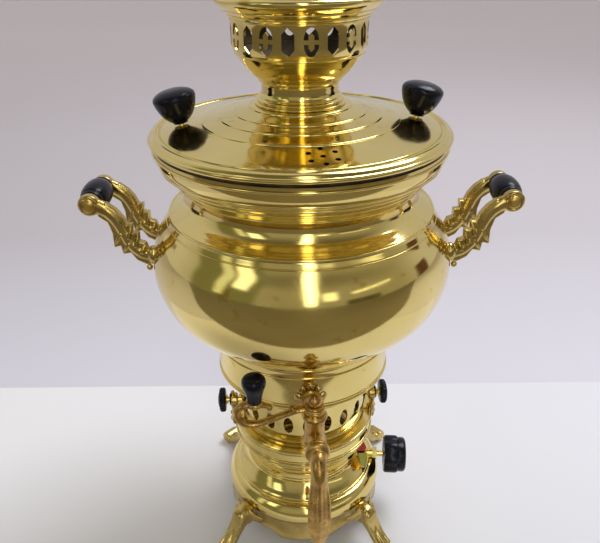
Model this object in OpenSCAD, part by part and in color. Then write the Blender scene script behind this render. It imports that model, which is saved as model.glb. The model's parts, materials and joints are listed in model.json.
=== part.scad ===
// Brass gas samovar: a round water tank over a burner, with a flue through
// its middle, a lid, a pierced crown for a teapot, a tap and two handles.
// Millimetres, +Z up. The origin is on the upright axis, at table level.
// The tap points along -Y, the handles along X and the gas inlet along +Y.

/* [Heights] */
// Top of the cast stand ring
plate_z = 40; // [39.5:0.5:40.5]
// Top of the flange that the tank's fire collar stands on
flange_z = 112; // [111:0.5:113]
// Bottom of the tank's skirt
skirt_z = 164.5; // [164:0.5:166]
// Where the skirt meets the belly
belly_foot_z = 203.5; // [202:0.5:205]
// Seam between the belly and the shoulder
seam_z = 304.5; // [303:0.5:306]
// Narrowest ring of the neck
neck_z = 321; // [320:0.5:322]
// Mouth of the tank, where the lid rests
mouth_z = 357.5; // [357:0.5:358.5]
// Flat of the lid that the crown rests on
crown_z = 381; // [380.5:0.5:382]
// Top of the crown
crown_top_z = 452; // [451:0.5:454]

/* [Radii] */
// Edge of the cast stand ring
plate_r = 68; // [67.7:0.1:68.3]
// Bead round the foot of the base bell
bell_r = 60; // [59.5:0.5:61]
// Fire collar at its top
collar_r = 56; // [55.5:0.5:57]
// Skirt of the tank
skirt_r = 70; // [69:0.5:71]
// Belly of the tank at its widest
belly_r = 113.7; // [113:0.1:115]
// Neck of the tank at its narrowest
neck_r = 83; // [82:0.5:84]
// Rim of the lid
lid_r = 107; // [106.5:0.5:108]
// Flue tube, outside
flue_r = 21.5; // [20:0.5:22]
// Pierced gallery of the crown
gallery_r = 45.7; // [45:0.1:46.5]
// Lip of the crown
crown_r = 56.5; // [56:0.1:58]
// Thickness of the spun brass
sheet = 1.2; // [1:0.1:1.4]

/* [Tap] */
// How far the tap stands round from the middle, in degrees
tap_turn = 4.5; // [-6:0.5:6]
// Distance of the plug from the upright axis
plug_y = 100; // [98:0.5:102]
// Height of the shank
shank_z = 177.5; // [177:0.5:179]
// Drop of the spout from the axis
spout_y = 132; // [131:0.5:134]
// Height of the spout's tip
spout_tip_z = 88.5; // [80:0.5:96]
// Radius of the water way
way_r = 3.6; // [3:0.1:3.8]

/* [Gas] */
// How far the gas valve stands round from +X, in degrees
valve_turn = -4; // [-6:0.5:0]
// Height of the valve and of the gas inlet
gas_z = 57; // [56.5:0.5:58]
// Radius of the hose tail
tail_r = 4.5; // [4:0.1:4.5]

/* [Lid, clamps and handles] */
// How far the lid's knobs stand round from X, in degrees
lid_turn = 5; // [-10:0.5:10]
// Distance of the lid's knobs from the upright axis
lid_knob_x = 83.5; // [82:0.5:85]
// How far the clamp screws stand round from X, in degrees
clamp_turn = 4; // [-6:0.5:6]
// Height of the clamp screws
clamp_z = 122; // [121:0.5:124]
// Distance of the hand grips from the upright axis
grip_x = 152.5; // [151:0.5:154]
// Height of the hand grips
grip_z = 313.5; // [312:0.5:315]
// Distance of the handle arms from the middle plane
arm_y = 20; // [19:0.5:22]

/* [Hidden] */

$fn = 64;
BRASS = "goldenrod";
CAST = "darkgoldenrod";
BLACK = "dimgray";
RUN = 0.05;     // radial running clearance of a shaft in its hole
EPS = 0.01;
spout_r = 9;
UNIT_X = [1, 0];

// ---- Outlines ----

// Point between p1 and p2 on the smooth curve through four points
function between(p0, p1, p2, p3, t) =
    p1 + 0.5 * t * ((p2 - p0) + t * ((2 * p0 - 5 * p1 + 4 * p2 - p3)
    + t * (3 * (p1 - p2) + p3 - p0)));

// Smooth curve through a list of points, with a number of steps in each span
function curve(pts, steps = 3) = let (last = len(pts) - 1) concat(
    [for (i = [0 : last - 1]) for (k = [0 : steps - 1])
        between(pts[max(i - 1, 0)], pts[i], pts[i + 1], pts[min(i + 2, last)], k / steps)],
    [pts[last]]);

function reversed(list) = [for (i = [len(list) - 1 : -1 : 0]) list[i]];
function tangent(pts, i) = let (a = pts[max(i - 1, 0)], b = pts[min(i + 1, len(pts) - 1)])
    (b - a) / norm(b - a);
function left_of(d) = [d.y, -d.x];

// The curve moved to its inner side by t. Flat ends keep their height.
function offset_in(pts, t, flat) = [for (i = [0 : len(pts) - 1])
    flat && (i == 0 || i == len(pts) - 1) ? pts[i] - t * UNIT_X
    : pts[i] + t * left_of(tangent(pts, i))];

// Outline of a strip along a path, with a half width at each point
function strip(path, widths) = concat(
    [for (i = [0 : len(path) - 1]) path[i] + widths[i] * left_of(tangent(path, i))],
    reversed([for (i = [0 : len(path) - 1]) path[i] - widths[i] * left_of(tangent(path, i))]));

function ellipse(a, b, n = 20) = [for (i = [0 : n - 1]) [a * cos(360 * i / n), b * sin(360 * i / n)]];
function blend_widths(list, steps = 3) = [for (p = curve([for (w = list) [w, 0]], steps)) p.x];

// ---- Shared shapes ----

// Spun sheet along an outline that runs from top to bottom, or from centre to rim
module spun(pts, flat = true) {
    rotate_extrude($fn = 96) polygon(concat(pts, reversed(offset_in(pts, sheet, flat))));
}

// Half-round bead on the outside of a spun sheet
module bead(r, z, w = 1.1) {
    rotate_extrude($fn = 96) translate([r, z]) circle(w, $fn = 16);
}

module ring(r_out, r_in, z, h) {
    translate([0, 0, z]) difference() {
        cylinder(r = r_out, h = h);
        translate([0, 0, -1]) cylinder(r = r_in, h = h + 2);
    }
}

// Round bar along +X from x0 to x1
module bar_x(r, x0, x1) {
    translate([x0, 0, 0]) rotate([0, 90, 0]) cylinder(r = r, h = x1 - x0);
}

// Round bar along +Y from y0 to y1
module bar_y(r, y0, y1) {
    translate([0, y0, 0]) rotate([-90, 0, 0]) cylinder(r = r, h = y1 - y0);
}

// Shape drawn in the plane of X and Z, with a thickness along Y about zero
module slab_xz(thickness) {
    rotate([90, 0, 0]) translate([0, 0, -thickness / 2]) linear_extrude(thickness) children();
}

// ---- Base ----

foot_u = 110;
leg_w = 13.4;
leg_outer = curve([[66, 43.6], [73, 45], [78.8, 43.4], [80.8, 38.5], [83.2, 33], [86.4, 27],
    [91, 21.3], [96.4, 16.6], [102, 13.4], [107, 12.4]]);
leg_inner = curve([[66, 23], [76, 22], [80.8, 20.8], [85.3, 18], [89.4, 13.6], [94, 8.6], [99, 4], [104, 0]]);
toe_r = 5.8;

module leg() {
    difference() {
        union() {
            slab_xz(leg_w) polygon(concat(leg_outer, reversed(leg_inner)));
            translate([foot_u, 0, 0]) cylinder(r1 = 8.4, r2 = 7.8, h = 5);
            translate([foot_u - 0.5, 0, 13 - toe_r]) bar_y(toe_r, -leg_w / 2 - 1, leg_w / 2 + 1);
        }
        translate([50, -20, -20]) cube([80, 40, 20]);
        cylinder(r = plate_r, h = 60);
        bell_solid();
        leg_screw_pair();
    }
}

// Two screws, one over the other, that hold a leg to the stand ring
module leg_screw_pair() {
    for (z = [29.5, 37]) let (face = 84.8 - (z - 29.5) * 0.46) translate([0, 0, z]) {
        bar_x(1.6, 64, face - 2);
        bar_x(3, face - 2 - EPS, face + 1.2);
    }
}

module each_leg(turns) {
    for (a = turns) rotate([0, 0, a]) children();
}

LEG_TURNS = [225, 315, 135, 45];

module place_leg(i) {
    color(CAST) each_leg([LEG_TURNS[i]]) leg();
}

module leg_front_left() place_leg(0);
module leg_front_right() place_leg(1);
module leg_rear_left() place_leg(2);
module leg_rear_right() place_leg(3);

module leg_screws() {
    color(BRASS) each_leg(LEG_TURNS) leg_screw_pair();
}

arch_turn = 33.5;
arch_r = 27;
arch_z = -3;
apron_z = 17;

// Stand ring with an arched apron: two arches and a drop in each quarter
module base_plate() {
    color(CAST) difference() {
        union() {
            ring(plate_r, 50, plate_z - 5, 5);
            ring(plate_r, plate_r - 3, apron_z, plate_z - apron_z);
        }
        for (k = [0 : 3]) for (s = [-1, 1]) rotate([0, 0, 90 * k + s * arch_turn])
            translate([0, 0, arch_z]) bar_x(arch_r, plate_r - 8, plate_r + 8);
        each_leg(LEG_TURNS) leg_screw_pair();
    }
}

bell_curve = curve([
    [bell_r - 1.5, 95], [bell_r - 4, 90], [bell_r - 8.6, 83], [bell_r - 10.4, 75],
    [bell_r - 9.4, 67.5], [bell_r - 5, 61], [bell_r - 0.6, 56.8], [bell_r + 0.2, 54.4],
    [plate_r - 4.4, 52.8], [plate_r - 1.4, 49], [plate_r + 0.3, 44.4], [plate_r + 0.7, plate_z]
], 2);

module base_bell() {
    color(BRASS) difference() {
        union() {
            spun(bell_curve);
            bead(bell_r + 0.2, 55);
            bead(bell_r - 9.6, 68);
            bead(bell_r - 8.8, 83);
        }
        in_gas_frame() bar_x(nose_r, 30, 80);
        translate([0, 0, gas_z]) bar_y(tail_r, 30, 80);
        for (a = [0 : 18 : 359]) rotate([0, 0, a + 9])
            translate([0, 0, 89]) bar_x(1.8, 40, 70);
    }
}

module base_flange() {
    color(BRASS) {
        difference() {
            union() {
                ring(bell_r, bell_r - 1.5, 95, flange_z - 95);
                ring(bell_r - 1, 50, flange_z - 1.5, 1.5);
                ring(bell_r - 1, bell_r - 3, 95, 1.5);
                bead(bell_r - 0.2, 97, 1.2);
                bead(bell_r - 0.2, flange_z - 1.6, 1.2);
            }
            each_clamp() clamp_rivet_pair();
            translate([0, 0, flange_z]) cylinder(r = 80, h = 5);
            translate([0, 0, 90]) cylinder(r = 80, h = 5);
        }
    }
}

// ---- Clamps that hold the tank to the base ----

module in_clamp_frame(side) {
    rotate([0, 0, clamp_turn + (side < 0 ? 180 : 0)]) children();
}

module each_clamp() {
    for (s = [-1, 1]) in_clamp_frame(s) children();
}

module clamp_rivet_pair() {
    for (z = [101, 106]) translate([0, 0, z]) bar_x(1.5, bell_r - 4, bell_r + 4.4);
}

module clamp_bracket(side) {
    color(CAST) in_clamp_frame(side) {
        difference() {
            union() {
                translate([bell_r - 3, -6, 98.4]) cube([6, 12, 11]);
                translate([bell_r + 0.8, -6, 98.4]) cube([2.2, 12, clamp_z + 2 - 98.4]);
                translate([0, 0, clamp_z]) bar_x(6, bell_r - 2.5, bell_r + 5);
            }
            cylinder(r = bell_r, h = flange_z);
            bead(bell_r - 0.2, 97, 1.2);
            bead(bell_r - 0.2, flange_z - 1.6, 1.2);
            translate([0, 0, clamp_z]) bar_x(2.5 + RUN, 40, 80);
        }
        clamp_rivet_heads();
    }
}

module clamp_rivet_heads() {
    for (z = [101, 106]) translate([0, 0, z]) {
        bar_x(1.5, bell_r - 1.5, bell_r + 3);
        bar_x(2.4, bell_r + 3, bell_r + 4.4);
    }
}

module clamp_screw(side) {
    color(BRASS) in_clamp_frame(side) translate([0, 0, clamp_z]) {
        bar_x(2.5, bell_r - 5.6, bell_r + 13);
        bar_x(4, bell_r + 6, bell_r + 7.4);
    }
}

clamp_knob_r = 10.6;
clamp_notches = 18;

module clamp_knob(side) {
    color(BLACK) in_clamp_frame(side) translate([0, 0, clamp_z]) difference() {
        union() {
            bar_x(clamp_knob_r, bell_r + 8.6, bell_r + 13);
            bar_x(clamp_knob_r - 1.4, bell_r + 7.6, bell_r + 14.4);
            bar_x(5, bell_r + 14, bell_r + 15.2);
        }
        bar_x(2.5 + RUN, bell_r, bell_r + 13 + RUN);
        for (a = [0 : 360 / clamp_notches : 359]) rotate([a, 0, 0])
            translate([0, 0, clamp_knob_r + 0.4]) bar_x(0.9, bell_r, bell_r + 20);
    }
}

module clamp_bracket_left() clamp_bracket(-1);
module clamp_bracket_right() clamp_bracket(1);
module clamp_screw_left() clamp_screw(-1);
module clamp_screw_right() clamp_screw(1);
module clamp_knob_left() clamp_knob(-1);
module clamp_knob_right() clamp_knob(1);

// ---- Gas train ----

module in_gas_frame() {
    rotate([0, 0, valve_turn]) translate([0, 0, gas_z]) children();
}

burner_z = 114;
burner_r = 25;
jet_r = 9;

module burner_head() {
    color(CAST) difference() {
        union() {
            ring(burner_r, 7.5, burner_z, 2);
            ring(burner_r, burner_r - 3, burner_z + 2 - EPS, 7);
            translate([0, 0, burner_z + 8]) cylinder(r1 = burner_r, r2 = burner_r - 5, h = 3);
        }
        for (a = [0 : 15 : 359]) rotate([0, 0, a])
            translate([burner_r - 5, -0.8, burner_z + 3.5]) cube([8, 1.6, 3.5]);
    }
}

module burner_tube() {
    color(BRASS) difference() {
        ring(jet_r, jet_r - 1.5, 64, burner_z - 64);
        for (a = [45, 135]) rotate([0, 0, a]) translate([0, 0, 74]) bar_x(4, -12, 12);
    }
}

module gas_jet() {
    color(BRASS) difference() {
        union() {
            translate([0, 0, 50]) cylinder(r = 6, h = 12);
            translate([0, 0, 61]) cylinder(r = jet_r, h = 3);
            translate([0, 0, 63]) cylinder(r1 = 4, r2 = 2, h = 7);
        }
        translate([0, 0, gas_z]) cylinder(r = 0.6, h = 20);
        in_gas_frame() bar_x(3, 0, 20);
    }
}

module jet_pipe() {
    color(BRASS) in_gas_frame() difference() {
        bar_x(3, 0.5, 36);
        bar_x(1.8, 0, 37);
    }
}

valve_x = [36, 50, 67.4];
nose_r = 4;
valve_r = 6;

// Space inside the bell and its beads, which the nuts on it are cut by
module bell_solid() {
    rotate_extrude($fn = 96) polygon(concat([[0, 95]], bell_curve, [[0, plate_z]]));
    bead(bell_r + 0.2, 55);
}

module valve_body() {
    color(BRASS) in_gas_frame() difference() {
        union() {
            bar_x(valve_r, valve_x[0], valve_x[1]);
            bar_x(nose_r, valve_x[1] - EPS, valve_x[2]);
        }
        bar_x(2.5 + RUN, 44, valve_x[2] + 1);
        bar_x(1.8, valve_x[0] - 1, 45);
        translate([40, 0, 0]) bar_y(1.8, 0, 10);
    }
}

// Six-sided nut with its hole along X
module nut_x(across, hole, x0, x1) {
    difference() {
        translate([x0, 0, 0]) rotate([30, 0, 0]) rotate([0, 90, 0])
            cylinder(r = across / sqrt(3), h = x1 - x0, $fn = 6);
        bar_x(hole, x0 - 1, x1 + 1);
    }
}

module valve_gland_nut() {
    color(BRASS) difference() {
        in_gas_frame() {
            nut_x(10.4, nose_r, bell_r + 3.6, valve_x[2]);
            difference() {
                bar_x(5, bell_r - 4, bell_r + 3.6 + EPS);
                bar_x(nose_r, 40, 80);
            }
        }
        bell_solid();
    }
}

module valve_spindle() {
    color(BRASS) in_gas_frame() bar_x(2.5, 44.5, 84);
}

dial_x = [73.8, 86.4, 92, 93.6];
dial_r = [17.4, 15.6, 13.4];
dial_lobes = 8;

module valve_knob() {
    color(BLACK) in_gas_frame() difference() {
        union() {
            bar_x(dial_r[0], dial_x[0], dial_x[1]);
            bar_x(dial_r[1], dial_x[1] - EPS, dial_x[2]);
            translate([dial_x[2] - EPS, 0, 0]) rotate([0, 90, 0])
                cylinder(r1 = dial_r[1], r2 = dial_r[2], h = dial_x[3] - dial_x[2]);
        }
        bar_x(2.5, 70, 84);
        for (a = [0 : 360 / dial_lobes : 359]) rotate([a, 0, 0])
            translate([0, 0, dial_r[0] + 7.8]) bar_x(9, dial_x[0] - 1, dial_x[1] + 1);
    }
}

inlet_bend = 8;
feed_y = 24;
feed_x = 40;
tail_reach = spout_y * cos(tap_turn) + spout_r;

module quarter_pipe(r) {
    rotate_extrude(angle = 90) translate([inlet_bend, 0]) circle(r, $fn = 24);
}

module feed_pipe_solid(r) {
    bar_y(r, feed_y + inlet_bend, 40);
    translate([inlet_bend, feed_y + inlet_bend, 0]) rotate([0, 0, 180]) quarter_pipe(r);
    translate([0, feed_y, 0]) bar_x(r, inlet_bend, feed_x - inlet_bend);
    translate([feed_x - inlet_bend, feed_y - inlet_bend, 0]) quarter_pipe(r);
    translate([feed_x, 0, 0]) bar_y(r, 0, feed_y - inlet_bend);
}

module feed_pipe() {
    color(BRASS) difference() {
        translate([0, 0, gas_z]) feed_pipe_solid(3);
        translate([0, 0, gas_z]) feed_pipe_solid(1.8);
        in_gas_frame() bar_x(valve_r, valve_x[0], valve_x[1]);
        translate([0, 0, gas_z]) bar_y(1.8, 39, 41);
    }
}

module inlet_tail() {
    color(BRASS) translate([0, 0, gas_z]) difference() {
        union() {
            bar_y(tail_r, 40, tail_reach);
            bar_y(tail_r + 1, tail_reach - 22, tail_reach - 20);
        }
        bar_y(3, 39, tail_reach + 1);
    }
}

module inlet_nut() {
    color(BRASS) difference() {
        translate([0, 0, gas_z]) rotate([0, 0, 90]) nut_x(11.4, tail_r, bell_r - 2, bell_r + 7);
        bell_solid();
    }
}

// Plain two-colour plate beside the valve. It bridges the bell's waist, from
// the bead at its foot up to its wider top.
index_turn = -34;
index_angle = 22;
index_z = [55.6, 73, 88.8];

function index_r(z) = bell_r + 0.4 - 5.2 * (z - index_z[0]) / (index_z[2] - index_z[0]);

module index_patch(z0, z1) {
    rotate([0, 0, index_turn]) difference() {
        rotate_extrude(angle = index_angle, $fn = 96)
            polygon([[index_r(z0), z0], [index_r(z0) + 0.8, z0], [index_r(z1) + 0.8, z1], [index_r(z1), z1]]);
        bell_solid();
    }
}

module index_plate_red() {
    color("firebrick") index_patch(index_z[1], index_z[2]);
}

module index_plate_yellow() {
    color("gold") index_patch(index_z[0], index_z[1]);
}

// ---- Tank ----

collar_curve = curve([
    [collar_r, skirt_z], [collar_r + 0.2, 150], [collar_r - 0.4, 136],
    [collar_r - 2, 124], [collar_r - 3.6, 117], [collar_r - 4, flange_z]
], 2);
vent_count = 22;
vent_turn = 3.6;
vent_z = 135;
vent_half = [4, 8.4];

module fire_collar() {
    color(BRASS) difference() {
        union() {
            spun(collar_curve);
            bead(collar_r - 3.4, 115.4);
        }
        for (k = [0 : vent_count - 1]) rotate([0, 0, -90 + vent_turn + 360 * k / vent_count])
            translate([collar_r - 6, 0, vent_z]) rotate([90, 0, 90])
            linear_extrude(12) polygon(ellipse(vent_half[0], vent_half[1]));
    }
}

skirt_curve = curve([
    [skirt_r + 1, belly_foot_z], [skirt_r + 0.8, 199], [skirt_r + 0.6, 190],
    [skirt_r - 0.1, 176], [skirt_r - 0.2, skirt_z]
], 1);

module tank_skirt() {
    color(BRASS) difference() {
        union() {
            spun(skirt_curve);
            bead(skirt_r + 0.9, 202);
            bead(skirt_r + 0.7, 194.5);
            bead(skirt_r - 0.2, skirt_z + 1.2);
            ring(skirt_r - 0.2, collar_r - 4, skirt_z, 1.5);
        }
        in_tap_frame() bar_y(6, -90, -60);
    }
}

// Space inside the skirt and its lower bead, which the rosette on it is cut by
module skirt_solid() {
    rotate_extrude($fn = 360) polygon(concat([[0, belly_foot_z]], skirt_curve, [[0, skirt_z]]));
    bead(skirt_r - 0.2, skirt_z + 1.2);
}

module tank_floor() {
    color(BRASS) ring(skirt_r - 1.5, flue_r, skirt_z + 1.5, 1.5);
}

belly_curve = curve([
    [98.6, seam_z], [belly_r - 12, 298.4], [belly_r - 6.4, 290], [belly_r - 2.4, 280],
    [belly_r, 265], [belly_r - 2, 250], [belly_r - 8, 235], [belly_r - 18.6, 222],
    [belly_r - 28, 213.2], [belly_r - 36, 207.4], [skirt_r + 1, belly_foot_z]
]);

module tank_belly() {
    color(BRASS) difference() {
        spun(belly_curve);
        rivets();
    }
}

shoulder_curve = curve([
    [neck_r, neck_z], [neck_r + 0.8, 316.5], [neck_r + 4, 312], [neck_r + 9, 308.8],
    [neck_r + 13.4, 306.4], [98.6, seam_z]
]);

module tank_shoulder() {
    color(BRASS) {
        spun(shoulder_curve);
        bead(97.3, seam_z + 1.4, 0.9);
    }
}

rim_curve = curve([
    [104, mouth_z], [104, 351], [102.8, 346.6], [100, 342.4], [95.8, 338.4],
    [91.4, 333], [88.2, 328], [85, 324], [neck_r, neck_z]
], 2);

module tank_rim() {
    color(BRASS) {
        spun(rim_curve);
        bead(103.6, 354.4, 1.2);
        bead(99.4, 341.6, 1);
        bead(95.4, 338, 1);
        bead(91.2, 332.8, 1);
        ring(103, 97, mouth_z - 1.5, 1.5);
    }
}

module flue_tube() {
    color(BRASS) ring(flue_r, flue_r - 1.5, skirt_z, 395 - skirt_z);
}

// ---- Handles ----

arm_w = 7;
arm_path = curve([
    [108, 272.6], [113.6, 273], [120.4, 276], [127, 283], [130.6, 291.6], [134, 300.6],
    [139, 308.2], [145.8, 312.6], [grip_x, grip_z]
]);
arm_half = blend_widths([6.4, 6, 6, 6.4, 5.8, 4.6, 4.2, 5, 5.4]);
// Leaf tips along both edges of an arm: x, z and radius of each
arm_leaves = [
    [123.4, 287.6, 3.6], [127.4, 294.6, 3.4], [131.4, 300.8, 3], [133.4, 284.4, 4], [129.2, 279, 4]
];
arm_eye_r = 8;
arm_drop = [115, 262.5];
rod_r = 2.5;
rivet_z = 272.6;

module in_arm_frame(side, end) {
    rotate([0, 0, side < 0 ? 180 : 0]) translate([0, -side * end * -arm_y, 0]) children();
}

module rivet_bar() {
    translate([0, 0, rivet_z]) {
        bar_x(2, 105, 118);
        bar_x(3.2, 105, 109.6);
    }
}

module rivets() {
    for (s = [-1, 1]) for (e = [-1, 1]) in_arm_frame(s, e) rivet_bar();
}

module handle_rivets() {
    color(CAST) rivets();
}

module handle_arm(side, end) {
    color(CAST) difference() {
        in_arm_frame(side, end) {
            slab_xz(arm_w) polygon(strip(arm_path, arm_half));
            for (leaf = arm_leaves) translate([leaf[0], 0, leaf[1]]) bar_y(leaf[2], -arm_w / 2, arm_w / 2);
            translate([grip_x, 0, grip_z]) bar_y(arm_eye_r, -arm_w / 2, arm_w / 2);
            translate([arm_drop.x, 0, arm_drop.y]) cylinder(r = 1.6, h = 6);
            translate([arm_drop.x, 0, arm_drop.y]) sphere(2.6, $fn = 24);
        }
        rotate_extrude($fn = 96) polygon(concat([[0, 203.5]], reversed(belly_curve), [[0, seam_z]]));
        rivets();
        in_arm_frame(side, end) translate([grip_x, 0, grip_z]) bar_y(rod_r, -20, 20);
    }
}

module handle_arm_left_front() handle_arm(-1, -1);
module handle_arm_left_rear() handle_arm(-1, 1);
module handle_arm_right_front() handle_arm(1, -1);
module handle_arm_right_rear() handle_arm(1, 1);

grip_len = 2 * arm_y - arm_w;
grip_points = [[7.4, 0], [9.6, 0.12], [10.6, 0.3], [10.8, 0.5], [10.6, 0.7], [9.6, 0.88], [7.4, 1]];
grip_curve = curve([for (p = grip_points) [p.x, p.y * grip_len]]);

module grip(side) {
    color(BLACK) translate([side * grip_x, -arm_y + arm_w / 2, grip_z]) rotate([-90, 0, 0])
    difference() {
        rotate_extrude() polygon(concat([[0, 0]], grip_curve, [[0, grip_len]]));
        translate([0, 0, -1]) cylinder(r = rod_r, h = 2 * arm_y);
    }
}

module grip_left() grip(-1);
module grip_right() grip(1);

rod_end = arm_y + arm_w / 2 + 2.5;

module grip_rods() {
    color(CAST) for (s = [-1, 1]) translate([s * grip_x, 0, grip_z])
        bar_y(rod_r, -rod_end, rod_end);
}

module grip_nuts() {
    color(BRASS) for (s = [-1, 1]) for (e = [-1, 1])
        translate([s * grip_x, e * (arm_y + arm_w / 2 + 1.25), grip_z])
        rotate([0, 0, 90]) nut_x(9, rod_r, -1.25, 1.25);
}

// ---- Tap ----

module in_tap_frame() {
    rotate([0, 0, tap_turn]) translate([0, 0, shank_z]) children();
}

spout_z = -9.5;
spout_bend = 11;
plug_top = 11;
plug_bottom = -19;
plug_foot = plug_bottom + 0.5;
post_r = 3.5;
post_h = 5.6;
finial_r = 5.2;
finial_z = 20.4;
function plug_r(z) = 5 + 0.05 * (z - plug_bottom);

module rosette_shape(r, petals, depth) {
    polygon([for (a = [0 : 5 : 359]) (r - depth * (1 - abs(sin(petals * a / 2)))) * [cos(a), sin(a)]]);
}

module tap_rosette() {
    color(CAST) in_tap_frame() difference() {
        union() {
            rotate([90, 0, 0]) translate([0, 0, skirt_r - 3]) linear_extrude(4.5) rosette_shape(12.6, 8, 1.8);
            translate([0, -skirt_r - 1.4, 0]) bar_y(9, -1.6, 0);
        }
        bar_y(6, -90, -60);
        translate([0, 0, -shank_z]) skirt_solid();
    }
}

// Path of the water way: shank, then spout with its bend
module spout_path(r_stub, r_bend, r_top, r_tip, z_tip) {
    translate([0, 0, spout_z]) {
        bar_y(r_stub, -spout_y + spout_bend, -plug_y);
        translate([0, -spout_y + spout_bend, -spout_bend]) rotate([0, 90, 0]) rotate([0, 0, 180])
            rotate_extrude(angle = 90) translate([spout_bend, 0]) circle(r_bend, $fn = 32);
    }
    translate([0, -spout_y, z_tip]) cylinder(r1 = r_tip, r2 = r_top, h = spout_z - spout_bend - z_tip);
}

module tap_body() {
    tip = spout_tip_z - shank_z;
    color(CAST) in_tap_frame() difference() {
        union() {
            bar_y(6, -plug_y, -skirt_r + 7);
            bar_y(9, -skirt_r - 5.6, -skirt_r - 3);
            translate([0, -plug_y, plug_bottom]) cylinder(r = 8.2, h = plug_top - plug_bottom - 1);
            translate([0, -plug_y, plug_top - 4]) cylinder(r = 9.6, h = 3);
            translate([0, -plug_y, plug_bottom + 2]) cylinder(r = 9.2, h = 2.4);
            spout_path(6, 5.6, 5.6, spout_r, tip + 4);
            translate([0, -spout_y, tip]) cylinder(r1 = spout_r - 2.4, r2 = spout_r, h = 4);
            translate([0, 0, spout_z]) bar_y(9, -spout_y + spout_bend, -spout_y + spout_bend + 4.4);
        }
        translate([0, -plug_y, plug_bottom - 1]) cylinder(r1 = plug_r(plug_bottom - 1) + RUN,
            r2 = plug_r(plug_top) + RUN, h = plug_top - plug_bottom + 1);
        bar_y(way_r, -plug_y, -50);
        spout_path(way_r, way_r, way_r, way_r, tip - 1);
    }
}

module tap_lock_nut() {
    color(BRASS) in_tap_frame() rotate([0, 0, -90]) nut_x(15, 6, 63.4, 67);
}

module tap_seal() {
    color("black") in_tap_frame() difference() {
        bar_y(8.6, -68.1, -67);
        bar_y(6, -90, -50);
    }
}

module in_plug_frame() {
    in_tap_frame() translate([0, -plug_y, 0]) children();
}

module tap_plug() {
    color(BRASS) in_plug_frame() difference() {
        union() {
            translate([0, 0, plug_foot])
                cylinder(r1 = plug_r(plug_foot), r2 = plug_r(plug_top), h = plug_top - plug_foot);
            translate([0, 0, plug_bottom - 5.6]) cylinder(r = 2.5, h = 7);
            translate([0, 0, plug_top - EPS]) cylinder(r = post_r, h = post_h);
        }
        translate([-12, -2.4, -13]) cube([24, 4.8, 16.6]);
    }
}

module plug_nut() {
    color(BRASS) in_plug_frame() translate([0, 0, plug_bottom - 1.4]) difference() {
        union() {
            cylinder(r = 8.4, h = 1.2, $fn = 48);
            translate([0, 0, -3]) cylinder(r = 5.8, h = 3 + EPS, $fn = 6);
        }
        translate([0, 0, -5]) cylinder(r = 2.5, h = 10);
    }
}

lever_path = curve([
    [-3, 13.4], [-8, 13.4], [-13, 12.8], [-20, 10.2], [-30, 6.4], [-38, 3.4], [-45, 2.8],
    [-51.6, 6], [-54.4, 12.6], [-51.6, 18.6], [-45, 20.4], [-38, 19.6], [-31.4, 17.2]
]);
lever_half = blend_widths([2, 2, 2.4, 2.6, 2.7, 2.8, 2.8, 2.8, 2.8, 2.8, 2.4, 2.4, 1.9]);
lever_w = 6;
lever_hub_z = plug_top + 0.4;
lever_hub_h = 4;
lever_knob_x = -41.6;
lever_knob_z = 22.9;

module tap_lever() {
    color(CAST) in_plug_frame() difference() {
        union() {
            slab_xz(lever_w) polygon(strip(lever_path, lever_half));
            translate([0, 0, lever_hub_z]) cylinder(r1 = 8, r2 = 7, h = lever_hub_h);
            translate([lever_knob_x, 0, lever_knob_z - 4]) cylinder(r = 4.6, h = 4);
            translate([lever_knob_x, 0, lever_knob_z - EPS]) cylinder(r = 2, h = 8.6);
        }
        translate([0, 0, plug_top - 2]) cylinder(r = post_r, h = 20);
    }
}

lever_knob_curve = curve([[5, 0], [5.8, 6], [7.6, 12], [8.4, 16.4], [7.4, 19.6], [4.4, 21.4], [0, 21.8]]);

module lever_knob() {
    color(BLACK) in_plug_frame() translate([lever_knob_x, 0, lever_knob_z]) difference() {
        rotate_extrude() polygon(concat([[0, 0]], lever_knob_curve));
        translate([0, 0, -1]) cylinder(r = 2, h = 9.6);
    }
}

module tap_finial() {
    color(CAST) in_plug_frame() difference() {
        union() {
            translate([0, 0, lever_hub_z + lever_hub_h]) cylinder(r1 = 6.4, r2 = 4.4, h = 1.6);
            translate([0, 0, finial_z]) sphere(finial_r);
        }
        translate([0, 0, plug_top]) cylinder(r = post_r, h = post_h);
        translate([-finial_r, -finial_r, plug_top]) cube([20, 20, lever_hub_z + lever_hub_h - plug_top]);
    }
}

// ---- Lid ----

lid_hole_r = 24.5;
lid_curve = [
    [lid_hole_r, crown_z], [35, crown_z], [38, 379.9], [47, 377.9], [48.6, 376.8],
    [57.4, 375.6], [59, 374.4], [69.4, 372.8], [71.2, 371.4], [84, 369], [97.6, 366.6],
    [99.4, 365.6], [101, 366], [104, 365], [106.4, 363], [lid_r, 360.6], [106.4, 358.6],
    [105, mouth_z]
];

lid_slope = 10.5;
lid_knob_z = 369.2;
steam_hole_r = 1.8;
steam_hole_ring = 9.5;
steam_turn = 9.4;

module in_lid_knob_frame(side) {
    rotate([0, 0, lid_turn + (side < 0 ? 180 : 0)])
        translate([lid_knob_x, 0, lid_knob_z]) rotate([0, lid_slope, 0]) children();
}

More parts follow.
